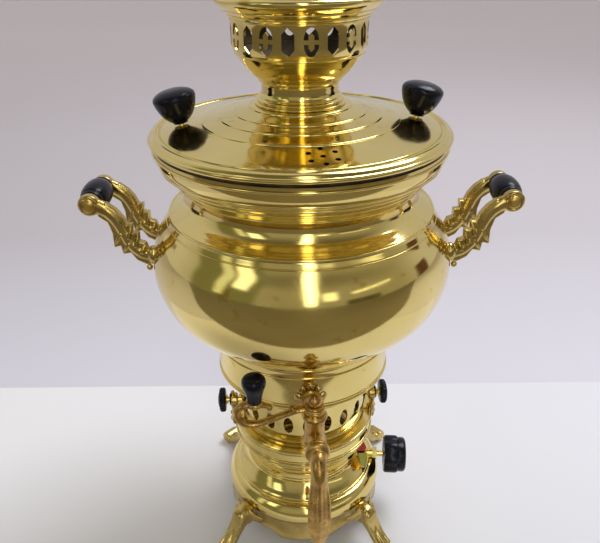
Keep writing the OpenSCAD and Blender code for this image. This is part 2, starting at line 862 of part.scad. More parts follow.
module lid_shell() {
    color(BRASS) difference() {
        union() {
            spun(lid_curve, false);
            ring(105, 97.5, mouth_z, 2);
            ring(95, 93.6, mouth_z - 6, 9.4);
            ring(99, 93.6, mouth_z, 2);
            ring(lid_hole_r + 1, lid_hole_r - 1, crown_z - sheet, 6);
        }
        rotate([0, 0, steam_turn]) for (p = concat([[0, 0]],
            [for (a = [30 : 60 : 359]) steam_hole_ring * [cos(a), sin(a)]]))
            translate([p.x, p.y - 82, 350]) cylinder(r = steam_hole_r, h = 40, $fn = 24);
        for (s = [-1, 1]) in_lid_knob_frame(s) translate([0, 0, -6]) cylinder(r = 2, h = 12);
    }
}

module lid_studs() {
    color(BRASS) for (s = [-1, 1]) in_lid_knob_frame(s) {
        translate([0, 0, -3]) cylinder(r = 2, h = 16);
        difference() {
            translate([0, 0, -3.8]) cylinder(r = 4, h = 2.4, $fn = 6);
            translate([0, 0, -3]) cylinder(r = 2, h = 4);
        }
    }
}

lid_knob_curve = curve([
    [5.4, 0.1], [5.9, 1.2], [8, 2.8], [10.2, 5.4], [12.2, 8.6], [13.6, 12], [14.5, 15.2],
    [14.8, 17.4], [14.2, 19.4], [11.8, 21.4], [7, 23], [0, 23.6]
]);

module lid_knob(side) {
    color(BLACK) in_lid_knob_frame(side) difference() {
        rotate_extrude() polygon(concat([[0, 0.1]], lid_knob_curve));
        translate([0, 0, -1]) cylinder(r = 2, h = 14);
    }
}

module lid_knob_left() lid_knob(-1);
module lid_knob_right() lid_knob(1);

// ---- Crown ----

crown_neck_z = 393;
crown_neck_r = 26.8;
crown_hole_r = 26.1;

module crown_foot() {
    color(BRASS) rotate_extrude($fn = 96) polygon([
        [crown_hole_r, crown_z], [31.2, crown_z], [31.8, 382], [31.4, 383], [29.8, 383.5],
        [30.3, 384.4], [30, 385.4], [28.4, 386], [28.5, 386.9], [27.7, 387.6],
        [crown_neck_r, 388.2], [crown_neck_r, crown_neck_z],
        [crown_neck_r - sheet, crown_neck_z], [crown_neck_r - sheet, 388], [crown_hole_r, 387]
    ]);
}

bowl_top_z = 417.5;
bowl_top_r = gallery_r - 1;
bowl_curve = curve([
    [bowl_top_r, bowl_top_z], [43, 414], [39.6, 409.2], [36.6, 405.6], [33.2, 401.9], [28.8, 398.2],
    [crown_neck_r, crown_neck_z]
]);

module crown_bowl() {
    color(BRASS) spun(bowl_curve);
}

gallery_curve = curve([
    [crown_r - 1.4, crown_top_z], [crown_r - 0.2, 450.4], [crown_r - 0.6, 447.4],
    [52.6, 444], [48.6, 441], [46.4, 438.6], [gallery_r, 436.4], [gallery_r, 427],
    [gallery_r, 421.4], [bowl_top_r, bowl_top_z]
], 2);
opening_count = 20;
opening_z = 427.3;
opening_half = 8.6;
opening_turn = 9;

module pointed_slot(half_w, half_h) {
    polygon([[half_w, -half_h + half_w], [half_w, half_h - half_w], [0, half_h],
        [-half_w, half_h - half_w], [-half_w, -half_h + half_w], [0, -half_h]]);
}

// Upper and lower crescent round a pointed bar
module crescents() {
    difference() {
        polygon(ellipse(4.6, opening_half));
        pointed_slot(1.7, 5.4);
        square([12, 2.4], center = true);
    }
}

module crown_gallery() {
    color(BRASS) difference() {
        union() {
            spun(gallery_curve);
            ring(crown_r - 2, 47, crown_top_z - 1.4, 1.4);
        }
        for (k = [0 : opening_count - 1]) rotate([0, 0, -90 + opening_turn + 360 * k / opening_count])
            translate([gallery_r - 6, 0, opening_z]) rotate([90, 0, 90]) linear_extrude(12)
            if (k % 2 == 0) crescents(); else pointed_slot(4, opening_half);
    }
}

base_plate();
leg_front_left();
leg_front_right();
leg_rear_left();
leg_rear_right();
leg_screws();
base_bell();
base_flange();
clamp_bracket_left();
clamp_bracket_right();
burner_head();
burner_tube();
gas_jet();
jet_pipe();
valve_body();
valve_gland_nut();
feed_pipe();
inlet_tail();
inlet_nut();
index_plate_red();
index_plate_yellow();
fire_collar();
tank_skirt();
tank_floor();
tank_belly();
tank_shoulder();
tank_rim();
flue_tube();
tap_rosette();
tap_body();
tap_lock_nut();
tap_seal();
handle_arm_left_front();
handle_arm_left_rear();
handle_arm_right_front();
handle_arm_right_rear();
grip_left();
grip_right();
grip_rods();
grip_nuts();
handle_rivets();
tap_plug();
tap_lever();
lever_knob();
tap_finial();
plug_nut();
valve_spindle();
valve_knob();
clamp_screw_left();
clamp_knob_left();
clamp_screw_right();
clamp_knob_right();
lid_shell();
lid_knob_left();
lid_knob_right();
lid_studs();
crown_foot();
crown_bowl();
crown_gallery();
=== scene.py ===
"""Looks of a brass gas samovar.

Polished and cast brass, black bakelite knobs, a plain pale floor and soft light.
"""

import json
import math
from math import cos, pi, radians, sin

import bmesh
import bpy
from mathutils import Matrix, Vector
from mathutils.bvhtree import BVHTree
from mathutils.interpolate import poly_3d_calc


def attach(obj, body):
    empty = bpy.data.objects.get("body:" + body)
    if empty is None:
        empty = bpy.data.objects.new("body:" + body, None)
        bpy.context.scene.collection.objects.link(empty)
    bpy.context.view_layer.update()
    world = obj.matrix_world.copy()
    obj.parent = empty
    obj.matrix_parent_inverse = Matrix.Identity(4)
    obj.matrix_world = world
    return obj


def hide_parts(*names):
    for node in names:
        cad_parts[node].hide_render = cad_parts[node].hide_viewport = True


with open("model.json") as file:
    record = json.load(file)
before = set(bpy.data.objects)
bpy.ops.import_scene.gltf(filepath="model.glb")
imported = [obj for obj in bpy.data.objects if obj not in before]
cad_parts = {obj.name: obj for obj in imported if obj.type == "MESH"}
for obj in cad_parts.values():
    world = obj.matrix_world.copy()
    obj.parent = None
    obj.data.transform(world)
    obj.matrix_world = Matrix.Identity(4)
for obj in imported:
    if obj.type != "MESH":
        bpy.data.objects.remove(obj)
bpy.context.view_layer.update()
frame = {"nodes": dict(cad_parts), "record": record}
scene = bpy.context.scene
MM = 0.001

# ---- Camera, at the photograph's place ----

PHOTO_W = 600
FOCAL_PX = 649.0
SENSOR_MM = 36.0
CAMERA_BACK, CAMERA_UP = 0.455, 0.491
PITCH, ROLL = radians(28.25), radians(-0.584)
SHIFT_PX = 1.98


def make_camera():
    data = bpy.data.cameras.new("camera")
    data.sensor_width = SENSOR_MM
    data.lens = FOCAL_PX * SENSOR_MM / PHOTO_W
    data.shift_x = -SHIFT_PX / PHOTO_W
    data.clip_start, data.clip_end = 0.01, 50
    cam = bpy.data.objects.new("camera", data)
    scene.collection.objects.link(cam)
    tilt = Matrix.Rotation(pi / 2 - PITCH, 4, "X")
    place = Matrix.Translation((0, -CAMERA_BACK, CAMERA_UP))
    cam.matrix_world = place @ tilt @ Matrix.Rotation(ROLL, 4, "Z")
    scene.camera = cam


# ---- Node graph helpers ----


class Graph:
    """Nodes of a material or of the world, made one call at a time."""

    def __init__(self, owner):
        self.owner = bpy.data.materials.new(owner) if isinstance(owner, str) else owner
        self.owner.use_nodes = True
        self.tree = self.owner.node_tree
        self.tree.nodes.clear()

    def plug(self, socket, value):
        """Links another node's output to a socket, or sets the socket's own value."""
        if isinstance(value, bpy.types.NodeSocket):
            self.tree.links.new(value, socket)
        elif value is not None:
            socket.default_value = (*value, 1) if isinstance(value, tuple) else value

    def node(self, kind, links=(), **settings):
        made = self.tree.nodes.new("ShaderNode" + kind)
        inputs = settings.pop("inputs", {})
        for key, value in settings.items():
            setattr(made, key, value)
        for key, value in inputs.items():
            made.inputs[key].default_value = value
        for key, source in dict(links).items():
            self.tree.links.new(source, made.inputs[key])
        return made

    def noise(self, scale, detail, vector):
        made = self.node("TexNoise", {"Vector": vector}, inputs={"Scale": scale, "Detail": detail})
        return made.outputs["Fac"]

    def ramp(self, source, stops):
        made = self.node("ValToRGB", {"Fac": source})
        points = made.color_ramp.elements
        while len(points) < len(stops):
            points.new(0.5)
        for point, (place, value) in zip(points, stops):
            point.position = place
            point.color = (*value, 1) if isinstance(value, tuple) else (value, value, value, 1)
        return made.outputs["Color"]

    def mix(self, factor, a, b):
        made = self.node("Mix", data_type="RGBA")
        for index, value in ((0, factor), (6, a), (7, b)):
            self.plug(made.inputs[index], value)
        return made.outputs[2]

    def math(self, operation, *values):
        made = self.node("Math", operation=operation)
        for index, value in enumerate(values):
            self.plug(made.inputs[index], value)
        return made.outputs[0]

    def fade(self, value, low, high, start=0.0, end=1.0):
        """Goes smoothly from start to end while the value goes from low to high."""
        limits = {"From Min": low, "From Max": high, "To Min": start, "To Max": end}
        made = self.node("MapRange", {"Value": value}, interpolation_type="SMOOTHSTEP", inputs=limits)
        return made.outputs["Result"]

    def place(self):
        return self.node("TexCoord").outputs["Object"]

    def bump(self, height, strength, distance):
        made = self.node("Bump", {"Height": height}, inputs={"Strength": strength, "Distance": distance})
        return made.outputs["Normal"]

    def finish(self, colour, roughness, normal=None, **sockets):
        shader = self.node("BsdfPrincipled", inputs=sockets)
        for key, value in (("Base Color", colour), ("Roughness", roughness), ("Normal", normal)):
            self.plug(shader.inputs[key], value)
        self.node("OutputMaterial", {"Surface": shader.outputs[0]})
        return self.owner


def polished_brass():
    g = Graph("polished_brass")
    place = g.place()
    cloud = g.noise(16, 5, place)
    tint = g.mix(g.ramp(cloud, [(0.36, 0.0), (0.64, 1.0)]), (0.87, 0.705, 0.27), (0.79, 0.62, 0.215))
    spots = g.ramp(g.noise(75, 6, place), [(0.62, 0.0), (0.74, 1.0)])
    tint = g.mix(spots, tint, (0.66, 0.46, 0.12))
    fine = g.noise(240, 3, place)
    rough = g.ramp(g.mix(0.5, cloud, fine), [(0.35, 0.07), (0.7, 0.15)])
    waves = g.noise(34, 2, place)
    normal = g.bump(waves, 0.06, 0.0012)
    return g.finish(tint, rough, normal, Metallic=1.0)


def worn(name, tints, cloud, spread, fine, rough, grain, bump, **sockets):
    """A material whose tint, roughness and height wander.

    cloud, fine and grain are the noises that drive them, as scale and detail. spread is the stretch of
    the cloud over which one tint gives way to the other, or None for all of it. rough is the roughness at
    two places of its noise, and bump the strength and depth of the relief.
    """
    g = Graph(name)
    place = g.place()
    share = g.noise(*cloud, place)
    if spread:
        share = g.ramp(share, [(spread[0], 0.0), (spread[1], 1.0)])
    tint = g.mix(share, *tints)
    roughness = g.ramp(g.noise(*fine, place), rough)
    normal = g.bump(g.noise(*grain, place), *bump)
    return g.finish(tint, roughness, normal, **sockets)


def foil(name, tints):
    return worn(
        name, tints, (320, 4), (0.45, 0.75), (500, 3), [(0.3, 0.3), (0.7, 0.5)], (600, 2), (0.1, 0.0002))


MATERIALS = {
    "tap_brass": worn(
        "tap_brass", ((0.66, 0.43, 0.13), (0.4, 0.23, 0.07)), (110, 5), (0.35, 0.65),
        (340, 4), [(0.3, 0.22), (0.75, 0.4)], (260, 3), (0.3, 0.0006), Metallic=1.0),
    "polished_brass": polished_brass(),
    # dark brass: real soot inside the flue and the crown, and painted shade in the seam under the lid's edge
    "soot_and_shade_brass": worn(
        "soot_and_shade_brass", ((0.012, 0.01, 0.008), (0.11, 0.075, 0.03)), (70, 6), (0.35, 0.75),
        (70, 6), [(0.3, 0.75), (0.75, 0.5)], (420, 4), (0.3, 0.0004), Metallic=0.5),
    "cast_brass": worn(
        "cast_brass", ((0.66, 0.5, 0.18), (0.44, 0.315, 0.1)), (60, 5), (0.35, 0.68),
        (300, 4), [(0.3, 0.15), (0.75, 0.32)], (140, 3), (0.25, 0.0006), Metallic=1.0),
    "black_plastic": worn(
        "bakelite", ((0.003, 0.0035, 0.009), (0.008, 0.009, 0.02)), (90, 5), None,
        (260, 4), [(0.3, 0.16), (0.75, 0.32)], (420, 3), (0.08, 0.0003), **{"Specular IOR Level": 0.22}),
    "burner_iron": worn(
        "cast_iron", ((0.035, 0.032, 0.03), (0.12, 0.085, 0.065)), (70, 6), None,
        (70, 6), [(0.3, 0.55), (0.7, 0.85)], (380, 4), (0.5, 0.0006), Metallic=0.6),
    "label_red": foil("label_red", ((0.5, 0.025, 0.03), (0.36, 0.03, 0.025))),
    "label_yellow": foil("label_yellow", ((0.42, 0.4, 0.05), (0.28, 0.26, 0.05))),
    "seal_rubber": worn(
        "seal_rubber", ((0.02, 0.018, 0.017), (0.06, 0.055, 0.05)), (200, 4), None,
        (200, 4), [(0.3, 0.75), (0.7, 0.75)], (700, 3), (0.3, 0.0002)),
}


def dress_frame():
    """Gives every CAD node its slot's material."""
    slots = {part["node"]: part["material_slot"] for part in frame["record"]["subparts"]}
    for name, thing in frame["nodes"].items():
        thing.data.materials.clear()
        thing.data.materials.append(MATERIALS[slots[name]])


# ---- Curves, in millimetres ----


def vectors(*points):
    return [Vector(p) for p in points]


def smooth(points, steps=6):
    """Points along the smooth curve through the given ones."""
    pts = vectors(*points)
    made = []
    for i in range(len(pts) - 1):
        a, b, c, d = pts[max(i - 1, 0)], pts[i], pts[i + 1], pts[min(i + 2, len(pts) - 1)]
        for k in range(steps):
            t = k / steps
            bend = (2 * a - 5 * b + 4 * c - d) + t * (3 * (b - c) + d - a)
            made.append(b + 0.5 * t * ((c - a) + t * bend))
    return made + [pts[-1]]


def tangent(pts, i):
    return (pts[min(i + 1, len(pts) - 1)] - pts[max(i - 1, 0)]).normalized()


def ring_on(curve, at, size, raised=True):
    """The curve with a half-round bead, or a groove, of that radius at its point nearest to at."""
    at = Vector(at)
    best = None
    for i in range(len(curve) - 1):
        a, step = curve[i], curve[i + 1] - curve[i]
        t = min(max((at - a).dot(step) / step.length_squared, 0), 1)
        foot = a + step * t
        if best is None or (foot - at).length < best[0]:
            best = ((foot - at).length, i, foot, step.normalized())
    _, i, foot, along = best
    out = Vector((-along.y, along.x)) * (1 if raised else -1)
    angles = [pi * k / 10 for k in range(11)]
    bead = [foot + size * (out * sin(a) - along * cos(a)) for a in angles]
    before = [p for p in curve[: i + 1] if (p - foot).length > size * 1.05]
    after = [p for p in curve[i + 1 :] if (p - foot).length > size * 1.05]
    return before + bead + after


def beaded(curve, *beads):
    """The curve with a bead for each pair of place and radius. A radius below 0 puts it on the other side."""
    for place, size in beads:
        curve = ring_on(curve, place, size)
    return curve


def shell(curve, thickness):
    """Closed outline of a sheet whose outer face is the curve, drawn from its top down or its middle out."""
    inner = []
    for i in range(len(curve)):
        d = tangent(curve, i)
        inner.append(curve[i] + thickness * Vector((d.y, -d.x)))
    return list(curve) + inner[::-1]


def arc(centre, radius, start, end, steps=12):
    """Points of an arc, with its angles in degrees."""
    x, y = centre
    angles = [radians(start + (end - start) * k / steps) for k in range(steps + 1)]
    return [Vector((x + radius * cos(a), y + radius * sin(a))) for a in angles]


# ---- Meshes, in millimetres ----


def wrap(sections):
    """Skin over a closed ring of closed sections, all with the same number of points."""
    turns, n = len(sections), len(sections[0])
    faces = []
    for k in range(turns):
        here, there = k * n, (k + 1) % turns * n
        for i in range(n):
            j = (i + 1) % n
            faces.append((here + i, there + i, there + j, here + j))
    return [p for section in sections for p in section], faces


def tube(rows, around):
    """Faces of a tube from its rows of points, with its two ends closed."""
    faces = []
    for row in range(rows - 1):
        for i in range(around):
            a, b = row * around + i, row * around + (i + 1) % around
            faces.append((a, b, b + around, a + around))
    return faces + [tuple(range(around)), tuple(range((rows - 1) * around, rows * around))]


def revolve(outline, place=Matrix(), turns=160, wave=None):
    """Closed outline of (radius, height) turned about Z. wave(angle, radius) may change the radius."""
    sections = []
    for k in range(turns):
        a = 2 * pi * k / turns
        section = [(wave(a, r) if wave else r, z) for r, z in outline]
        sections.append([place @ Vector((r * cos(a), r * sin(a), z)) for r, z in section])
    return wrap(sections)


def rod(radius, low, high, place, turns):
    """Plain rod along Z between two heights."""
    return revolve([(0, low), (radius, low), (radius, high), (0, high)], place, turns)


def sweep(path, halves, side=(0, 1, 0), place=Matrix(), sides=20, power=2.0, steps=6):
    """Bar along a path. halves gives its half sizes across the path and along side, one pair a point."""
    pts = smooth(path, steps)
    sizes = smooth([Vector(h) if isinstance(h, tuple) else Vector((h, h)) for h in halves], steps)
    side = Vector(side).normalized()
    verts = []
    for i, (p, size) in enumerate(zip(pts, sizes)):
        across = tangent(pts, i).cross(side).normalized()
        for k in range(sides):
            a = 2 * pi * k / sides
            c, s = cos(a), sin(a)
            u = math.copysign(abs(c) ** (2 / power), c) * max(size.x, 0.01)
            v = math.copysign(abs(s) ** (2 / power), s) * max(size.y, 0.01)
            verts.append(place @ (p + across * u + side * v))
    return verts, tube(len(pts), sides)


def bar(rows, **how):
    """Bar in the plane of X and Z. A row gives x, z, and the half sizes across the path and along Y."""
    return sweep([(x, 0, z) for x, z, _, _ in rows], [(across, along) for _, _, across, along in rows], **how)


def ball(centre, radii, place=Matrix(), turn=Matrix()):
    """Rounded lump with three radii."""
    half = vectors(*((sin(a), cos(a)) for a in [pi * k / 14 for k in range(15)]))
    return revolve(half, place @ Matrix.Translation(centre) @ turn @ Matrix.Diagonal((*radii, 1)), 24)


def prism(outline, low, high, place=Matrix(), bevel=0.0):
    """Outline in X and Y between two heights, with its edges taken off by bevel."""
    pts = vectors(*outline)
    middle = sum(pts, Vector((0, 0))) / len(pts)
    rows = [(low, 0), (high, 0)]
    if bevel:
        rows = [(low, bevel), (low + bevel, 0), (high - bevel, 0), (high, bevel)]
    verts = []
    for z, inset in rows:
        for p in pts:
            q = p + (middle - p).normalized() * inset
            verts.append(place @ Vector((q.x, q.y, z)))
    return verts, tube(len(rows), len(pts))


def to_mesh(name, forms):
    """One mesh in metres from forms in millimetres, each with its faces turned outwards."""
    whole = bmesh.new()
    for verts, faces in forms:
        made = [whole.verts.new(v * MM) for v in verts]
        fresh = [whole.faces.new([made[i] for i in dict.fromkeys(face)]) for face in faces]
        bmesh.ops.remove_doubles(whole, verts=made, dist=1e-6)
        bmesh.ops.recalc_face_normals(whole, faces=[f for f in fresh if f.is_valid])
    bmesh.ops.dissolve_degenerate(whole, edges=whole.edges, dist=1e-7)
    mesh = bpy.data.meshes.new(name)
    whole.to_mesh(mesh)
    whole.free()
    return mesh


# degrees between two faces above which the edge between them stays sharp
SHARP = 32
BRASS, CAST, BLACK = "polished_brass", "cast_brass", "black_plastic"


def piece(name, mesh, body, slot, stands_for=(), sharp=SHARP, finish=None):
    """Puts a mesh in the scene as a piece that rides on a body and stands for some CAD nodes."""
    thing = bpy.data.objects.new(name, mesh)
    scene.collection.objects.link(thing)
    mesh.materials.clear()
    mesh.materials.append(MATERIALS[finish or slot])
    if sharp:
        mesh.shade_smooth()
        mesh.set_sharp_from_angle(angle=radians(sharp))
    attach(thing, body)
    if stands_for:
        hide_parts(*stands_for)
    return thing


def spun_piece(name, outline, body, node, turns=224):
    """A piece of polished brass, turned about Z from its outline."""
    return piece(name, to_mesh(name, [revolve(outline, turns=turns)]), body, BRASS, [node])


def sooted_or_shaded(thing, darkened):
    """Gives the faces for which the given test holds the dark brass: real soot inside the flue and the crown,
    and painted shade in the seam under the lid's edge.
    """
    thing.data.materials.append(MATERIALS["soot_and_shade_brass"])
    for face in thing.data.polygons:
        if darkened(face):
            face.material_index = 1


def inward(face):
    """True where a face looks towards the axis, inside the flue and the crown."""
    out = Vector((face.center.x, face.center.y, 0)).normalized()
    return face.normal.dot(out) < -0.15


def in_shaded_seam(face):
    """True where a face lies in the narrow seam between the rim and the lid, which is painted dark as the
    shade under the lid's edge.
    """
    x, y, z = face.center / MM
    return SEAM_FLOOR_Z < z < SEAM_ROOF_Z and math.hypot(x, y) > SEAM_INNER_R


def applied(thing):
    """Mesh of a thing with its modifiers applied."""
    seen = thing.evaluated_get(bpy.context.evaluated_depsgraph_get())
    return bpy.data.meshes.new_from_object(seen)


def fused(name, forms, voxel=0.5, passes=6):
    """One cast mesh from forms that overlap, with its joins rounded."""
    thing = bpy.data.objects.new(name + "_rough", to_mesh(name + "_rough", forms))
    scene.collection.objects.link(thing)
    remesh = thing.modifiers.new("remesh", "REMESH")
    remesh.mode, remesh.voxel_size, remesh.use_smooth_shade = "VOXEL", voxel * MM, True
    soften = thing.modifiers.new("soften", "SMOOTH")
    soften.factor, soften.iterations = 0.5, passes
    bpy.context.view_layer.update()
    mesh = applied(thing)
    mesh.name = name
    bpy.data.objects.remove(thing)
    return mesh


# how near an old face lies in metres, and how alike it faces as a cosine, for a new one to take its shading
NEAR_FACE, LIKE_FACE = 2e-5, 0.94


def cut(mesh, cutters):
    """The mesh with holes through it. Its curved faces keep the shading that they had."""
    mesh.shade_smooth()
    mesh.set_sharp_from_angle(angle=radians(SHARP))
    thing = bpy.data.objects.new("cut_body", mesh)
    tool = bpy.data.objects.new("cut_tool", to_mesh("cut_tool", cutters))
    for made in (thing, tool):
        scene.collection.objects.link(made)
    hole = thing.modifiers.new("holes", "BOOLEAN")
    hole.operation, hole.solver, hole.object = "DIFFERENCE", "EXACT", tool
    bpy.context.view_layer.update()
    result = applied(thing)
    normals = [Vector(n.vector) for n in mesh.corner_normals]
    tree = BVHTree.FromPolygons([v.co for v in mesh.vertices], [tuple(p.vertices) for p in mesh.polygons])
    nothing = Vector((0, 0, 0))
    shading = [nothing] * len(result.loops)
    for face in result.polygons:
        for loop in face.loop_indices:
            point = result.vertices[result.loops[loop].vertex_index].co
            near, _, index, gap = tree.find_nearest(point.lerp(face.center, 0.02))
            source = mesh.polygons[index]
            if gap > NEAR_FACE or face.normal.dot(source.normal) < LIKE_FACE:
                shading[loop] = face.normal.copy()
                continue
            weights = poly_3d_calc([mesh.vertices[v].co for v in source.vertices], near)
            shading[loop] = sum((w * normals[c] for w, c in zip(weights, source.loop_indices)), nothing)
    result.shade_smooth()
    result.normals_split_custom_set([n.normalized() for n in shading])
    for made in (thing, tool):
        bpy.data.objects.remove(made)
    return result


# ---- Sizes, in millimetres, as in the frame ----

PLATE_Z, FLANGE_Z, SKIRT_Z, BELLY_FOOT_Z, SEAM_Z, NECK_Z = 40, 112, 164.5, 203.5, 304.5, 321
MOUTH_Z, CROWN_Z, CROWN_TOP_Z = 357.5, 381, 452
PLATE_R, BELL_R, COLLAR_R, SKIRT_R, BELLY_R, NECK_R = 68, 60, 56, 70, 113.7, 83
GALLERY_R, CROWN_R, SHEET = 45.7, 56.5, 1.2
TAP_TURN, PLUG_Y, SHANK_Z, SPOUT_Y, SPOUT_TIP_Z, WAY_R = 4.5, 100, 177.5, 132, 88.5, 3.6
VALVE_TURN, GAS_Z = -4, 57
LID_TURN, LID_KNOB_X, LID_KNOB_Z, LID_SLOPE = 5, 83.5, 369.2, 10.5
CLAMP_TURN, CLAMP_Z = 4, 122
GRIP_X, GRIP_Z, ARM_Y, ARM_W = 152.5, 313.5, 20, 7
CAP_Y = ARM_Y + ARM_W / 2 - 0.4
# band of the seam under the lid's edge whose faces are painted dark as shade
SEAM_FLOOR_Z, SEAM_ROOF_Z, SEAM_INNER_R = MOUTH_Z - 1, MOUTH_Z + 1.4, 103


def turned(degrees, axis="Z"):
    return Matrix.Rotation(radians(degrees), 4, axis)


def moved(x=0, y=0, z=0):
    return Matrix.Translation((x, y, z))


TAP = turned(TAP_TURN) @ moved(z=SHANK_Z)
PLUG = TAP @ moved(y=-PLUG_Y)
TOWARDS_TAP = turned(90, "X")       # turns +Z to -Y
ALONG_X = turned(90, "Y")           # turns +Z to +X
ALONG_Y = turned(-90, "X")          # turns +Z to +Y
VALVE = turned(VALVE_TURN) @ moved(z=GAS_Z)

# ---- Tank ----


def tank_shells():
    belly = smooth([
        (98.6, SEAM_Z), (BELLY_R - 12, 298.4), (BELLY_R - 6.4, 290), (BELLY_R - 2.4, 280), (BELLY_R, 265),
        (BELLY_R - 2, 250), (BELLY_R - 8, 235), (BELLY_R - 18.6, 222), (BELLY_R - 28, 213.2),
        (BELLY_R - 36, 207.4), (SKIRT_R + 1, BELLY_FOOT_Z)])
    belly = ring_on(belly, (BELLY_R - 13.8, 300.6), 0.7, raised=False)
    spun_piece("belly", shell(belly, SHEET), "tank", "tank_belly")

    shoulder = smooth([
        (NECK_R, NECK_Z), (NECK_R + 0.8, 316.5), (NECK_R + 4, 312), (NECK_R + 9, 308.8),
        (NECK_R + 13.4, 306.4), (98.6, SEAM_Z)], 8)
    shoulder = ring_on(shoulder, (97.3, SEAM_Z + 1.4), 1.0)
    spun_piece("shoulder", shell(shoulder, SHEET), "tank", "tank_shoulder")

    rim = smooth([
        (104, MOUTH_Z - 1), (104.2, 354), (104, 350.6), (102.8, 346.6), (100, 342.4), (95.8, 338.4),
        (91.4, 333), (88.2, 328), (85, 324), (NECK_R, NECK_Z)], 8)
    rim = beaded(
        rim, ((103.9, 353.4), 1.1), ((100.4, 342.6), 1.0), ((98.2, 340.6), 0.7), ((95.2, 337.6), 1.0),
        ((91.4, 333), 0.8), ((87.6, 327.2), 0.6))
    lip = vectors((97, MOUTH_Z - 1.6), (97, MOUTH_Z - 0.2), (103.2, MOUTH_Z - 0.2))
    inside = [p for p in shell(rim, SHEET)[len(rim):] if p.y < MOUTH_Z - 2]
    # the rim's top, in the seam under the lid, gets painted shade
    sooted_or_shaded(spun_piece("rim", lip + rim + inside, "tank", "tank_rim"), in_shaded_seam)

    skirt = smooth([
        (SKIRT_R + 1, BELLY_FOOT_Z), (SKIRT_R + 1.2, 200), (SKIRT_R + 1, 197), (SKIRT_R + 0.8, 190),
        (SKIRT_R + 0.3, 180), (SKIRT_R, 172), (SKIRT_R - 0.2, SKIRT_Z)], 8)
    skirt = beaded(
        skirt, ((SKIRT_R + 1.1, 201.6), 1.0), ((SKIRT_R + 0.9, 194.6), 0.9), ((SKIRT_R, 168.6), 0.6),
        ((SKIRT_R - 0.2, 166), 1.0))
    under = vectors((COLLAR_R - 1, SKIRT_Z), (COLLAR_R - 1, SKIRT_Z + 1.2), (SKIRT_R - 2.4, SKIRT_Z + 1.2))
    inside = [p for p in shell(skirt, SHEET)[len(skirt):] if p.y > SKIRT_Z + 2.2]
    spun_piece("skirt", skirt + under + inside, "tank", "tank_skirt")


VENTS, VENT_TURN, VENT_Z = 22, 3.6, 135
VENT_HALF_H, VENT_HALF_W, VENT_CUT = 8.4, 4, 16


def fire_collar():
    wall = smooth([
        (COLLAR_R, SKIRT_Z), (COLLAR_R + 0.2, 150), (COLLAR_R - 0.4, 136), (COLLAR_R - 2, 124),
        (COLLAR_R - 3.6, 117), (COLLAR_R - 4, FLANGE_Z)], 8)
    wall = beaded(wall, ((COLLAR_R - 3.5, 115.6), 1.1), ((COLLAR_R + 0.2, 152), 0.6))
    angles = [2 * pi * i / 28 for i in range(28)]
    oval = [(VENT_HALF_H * cos(a), VENT_HALF_W * sin(a)) for a in angles]
    ovals = []
    for k in range(VENTS):
        turn = turned(-90 + VENT_TURN + 360 * k / VENTS)
        place = turn @ moved(COLLAR_R - VENT_CUT / 2, 0, VENT_Z) @ ALONG_X
        ovals.append(prism(oval, 0, VENT_CUT, place))
    mesh = cut(to_mesh("collar", [revolve(shell(wall, SHEET), turns=220)]), ovals)
    piece("collar", mesh, "tank", BRASS, ["fire_collar"], sharp=0)


def rosette_form(place, radius, petals, height):
    """Flower in relief that faces +Z."""
    rows, around = 16, petals * 12
    verts = []
    for i in range(rows + 1):
        t = i / rows
        for k in range(around):
            a = 2 * pi * k / around
            petal = abs(cos(petals * a / 2))
            r = radius * t * (1 - 0.16 * (1 - petal ** 0.6) * t)
            lift = height * (0.35 + 0.65 * petal ** 0.7 * sin(pi * min(1, t * 1.02)) ** 0.8)
            groove = math.exp(-((a * petals / 2 / pi % 1 - 0.5) * 14) ** 2)
            lift -= 0.25 * height * groove * (0.3 < t < 0.9)
            verts.append(place @ Vector((r * cos(a), r * sin(a), lift if t < 1 else 0)))
    faces = tube(rows + 1, around)
    del faces[-2]       # its middle is one point
    return verts, faces


# ---- Tap ----

SPOUT_LOW, SPOUT_BEND, HUB_Z = -9.5, 11, 11.4
FINIAL_R, FINIAL_Z = 5.2, 20.4
LEVER_KNOB_X, LEVER_KNOB_Z = -41.6, 22.9


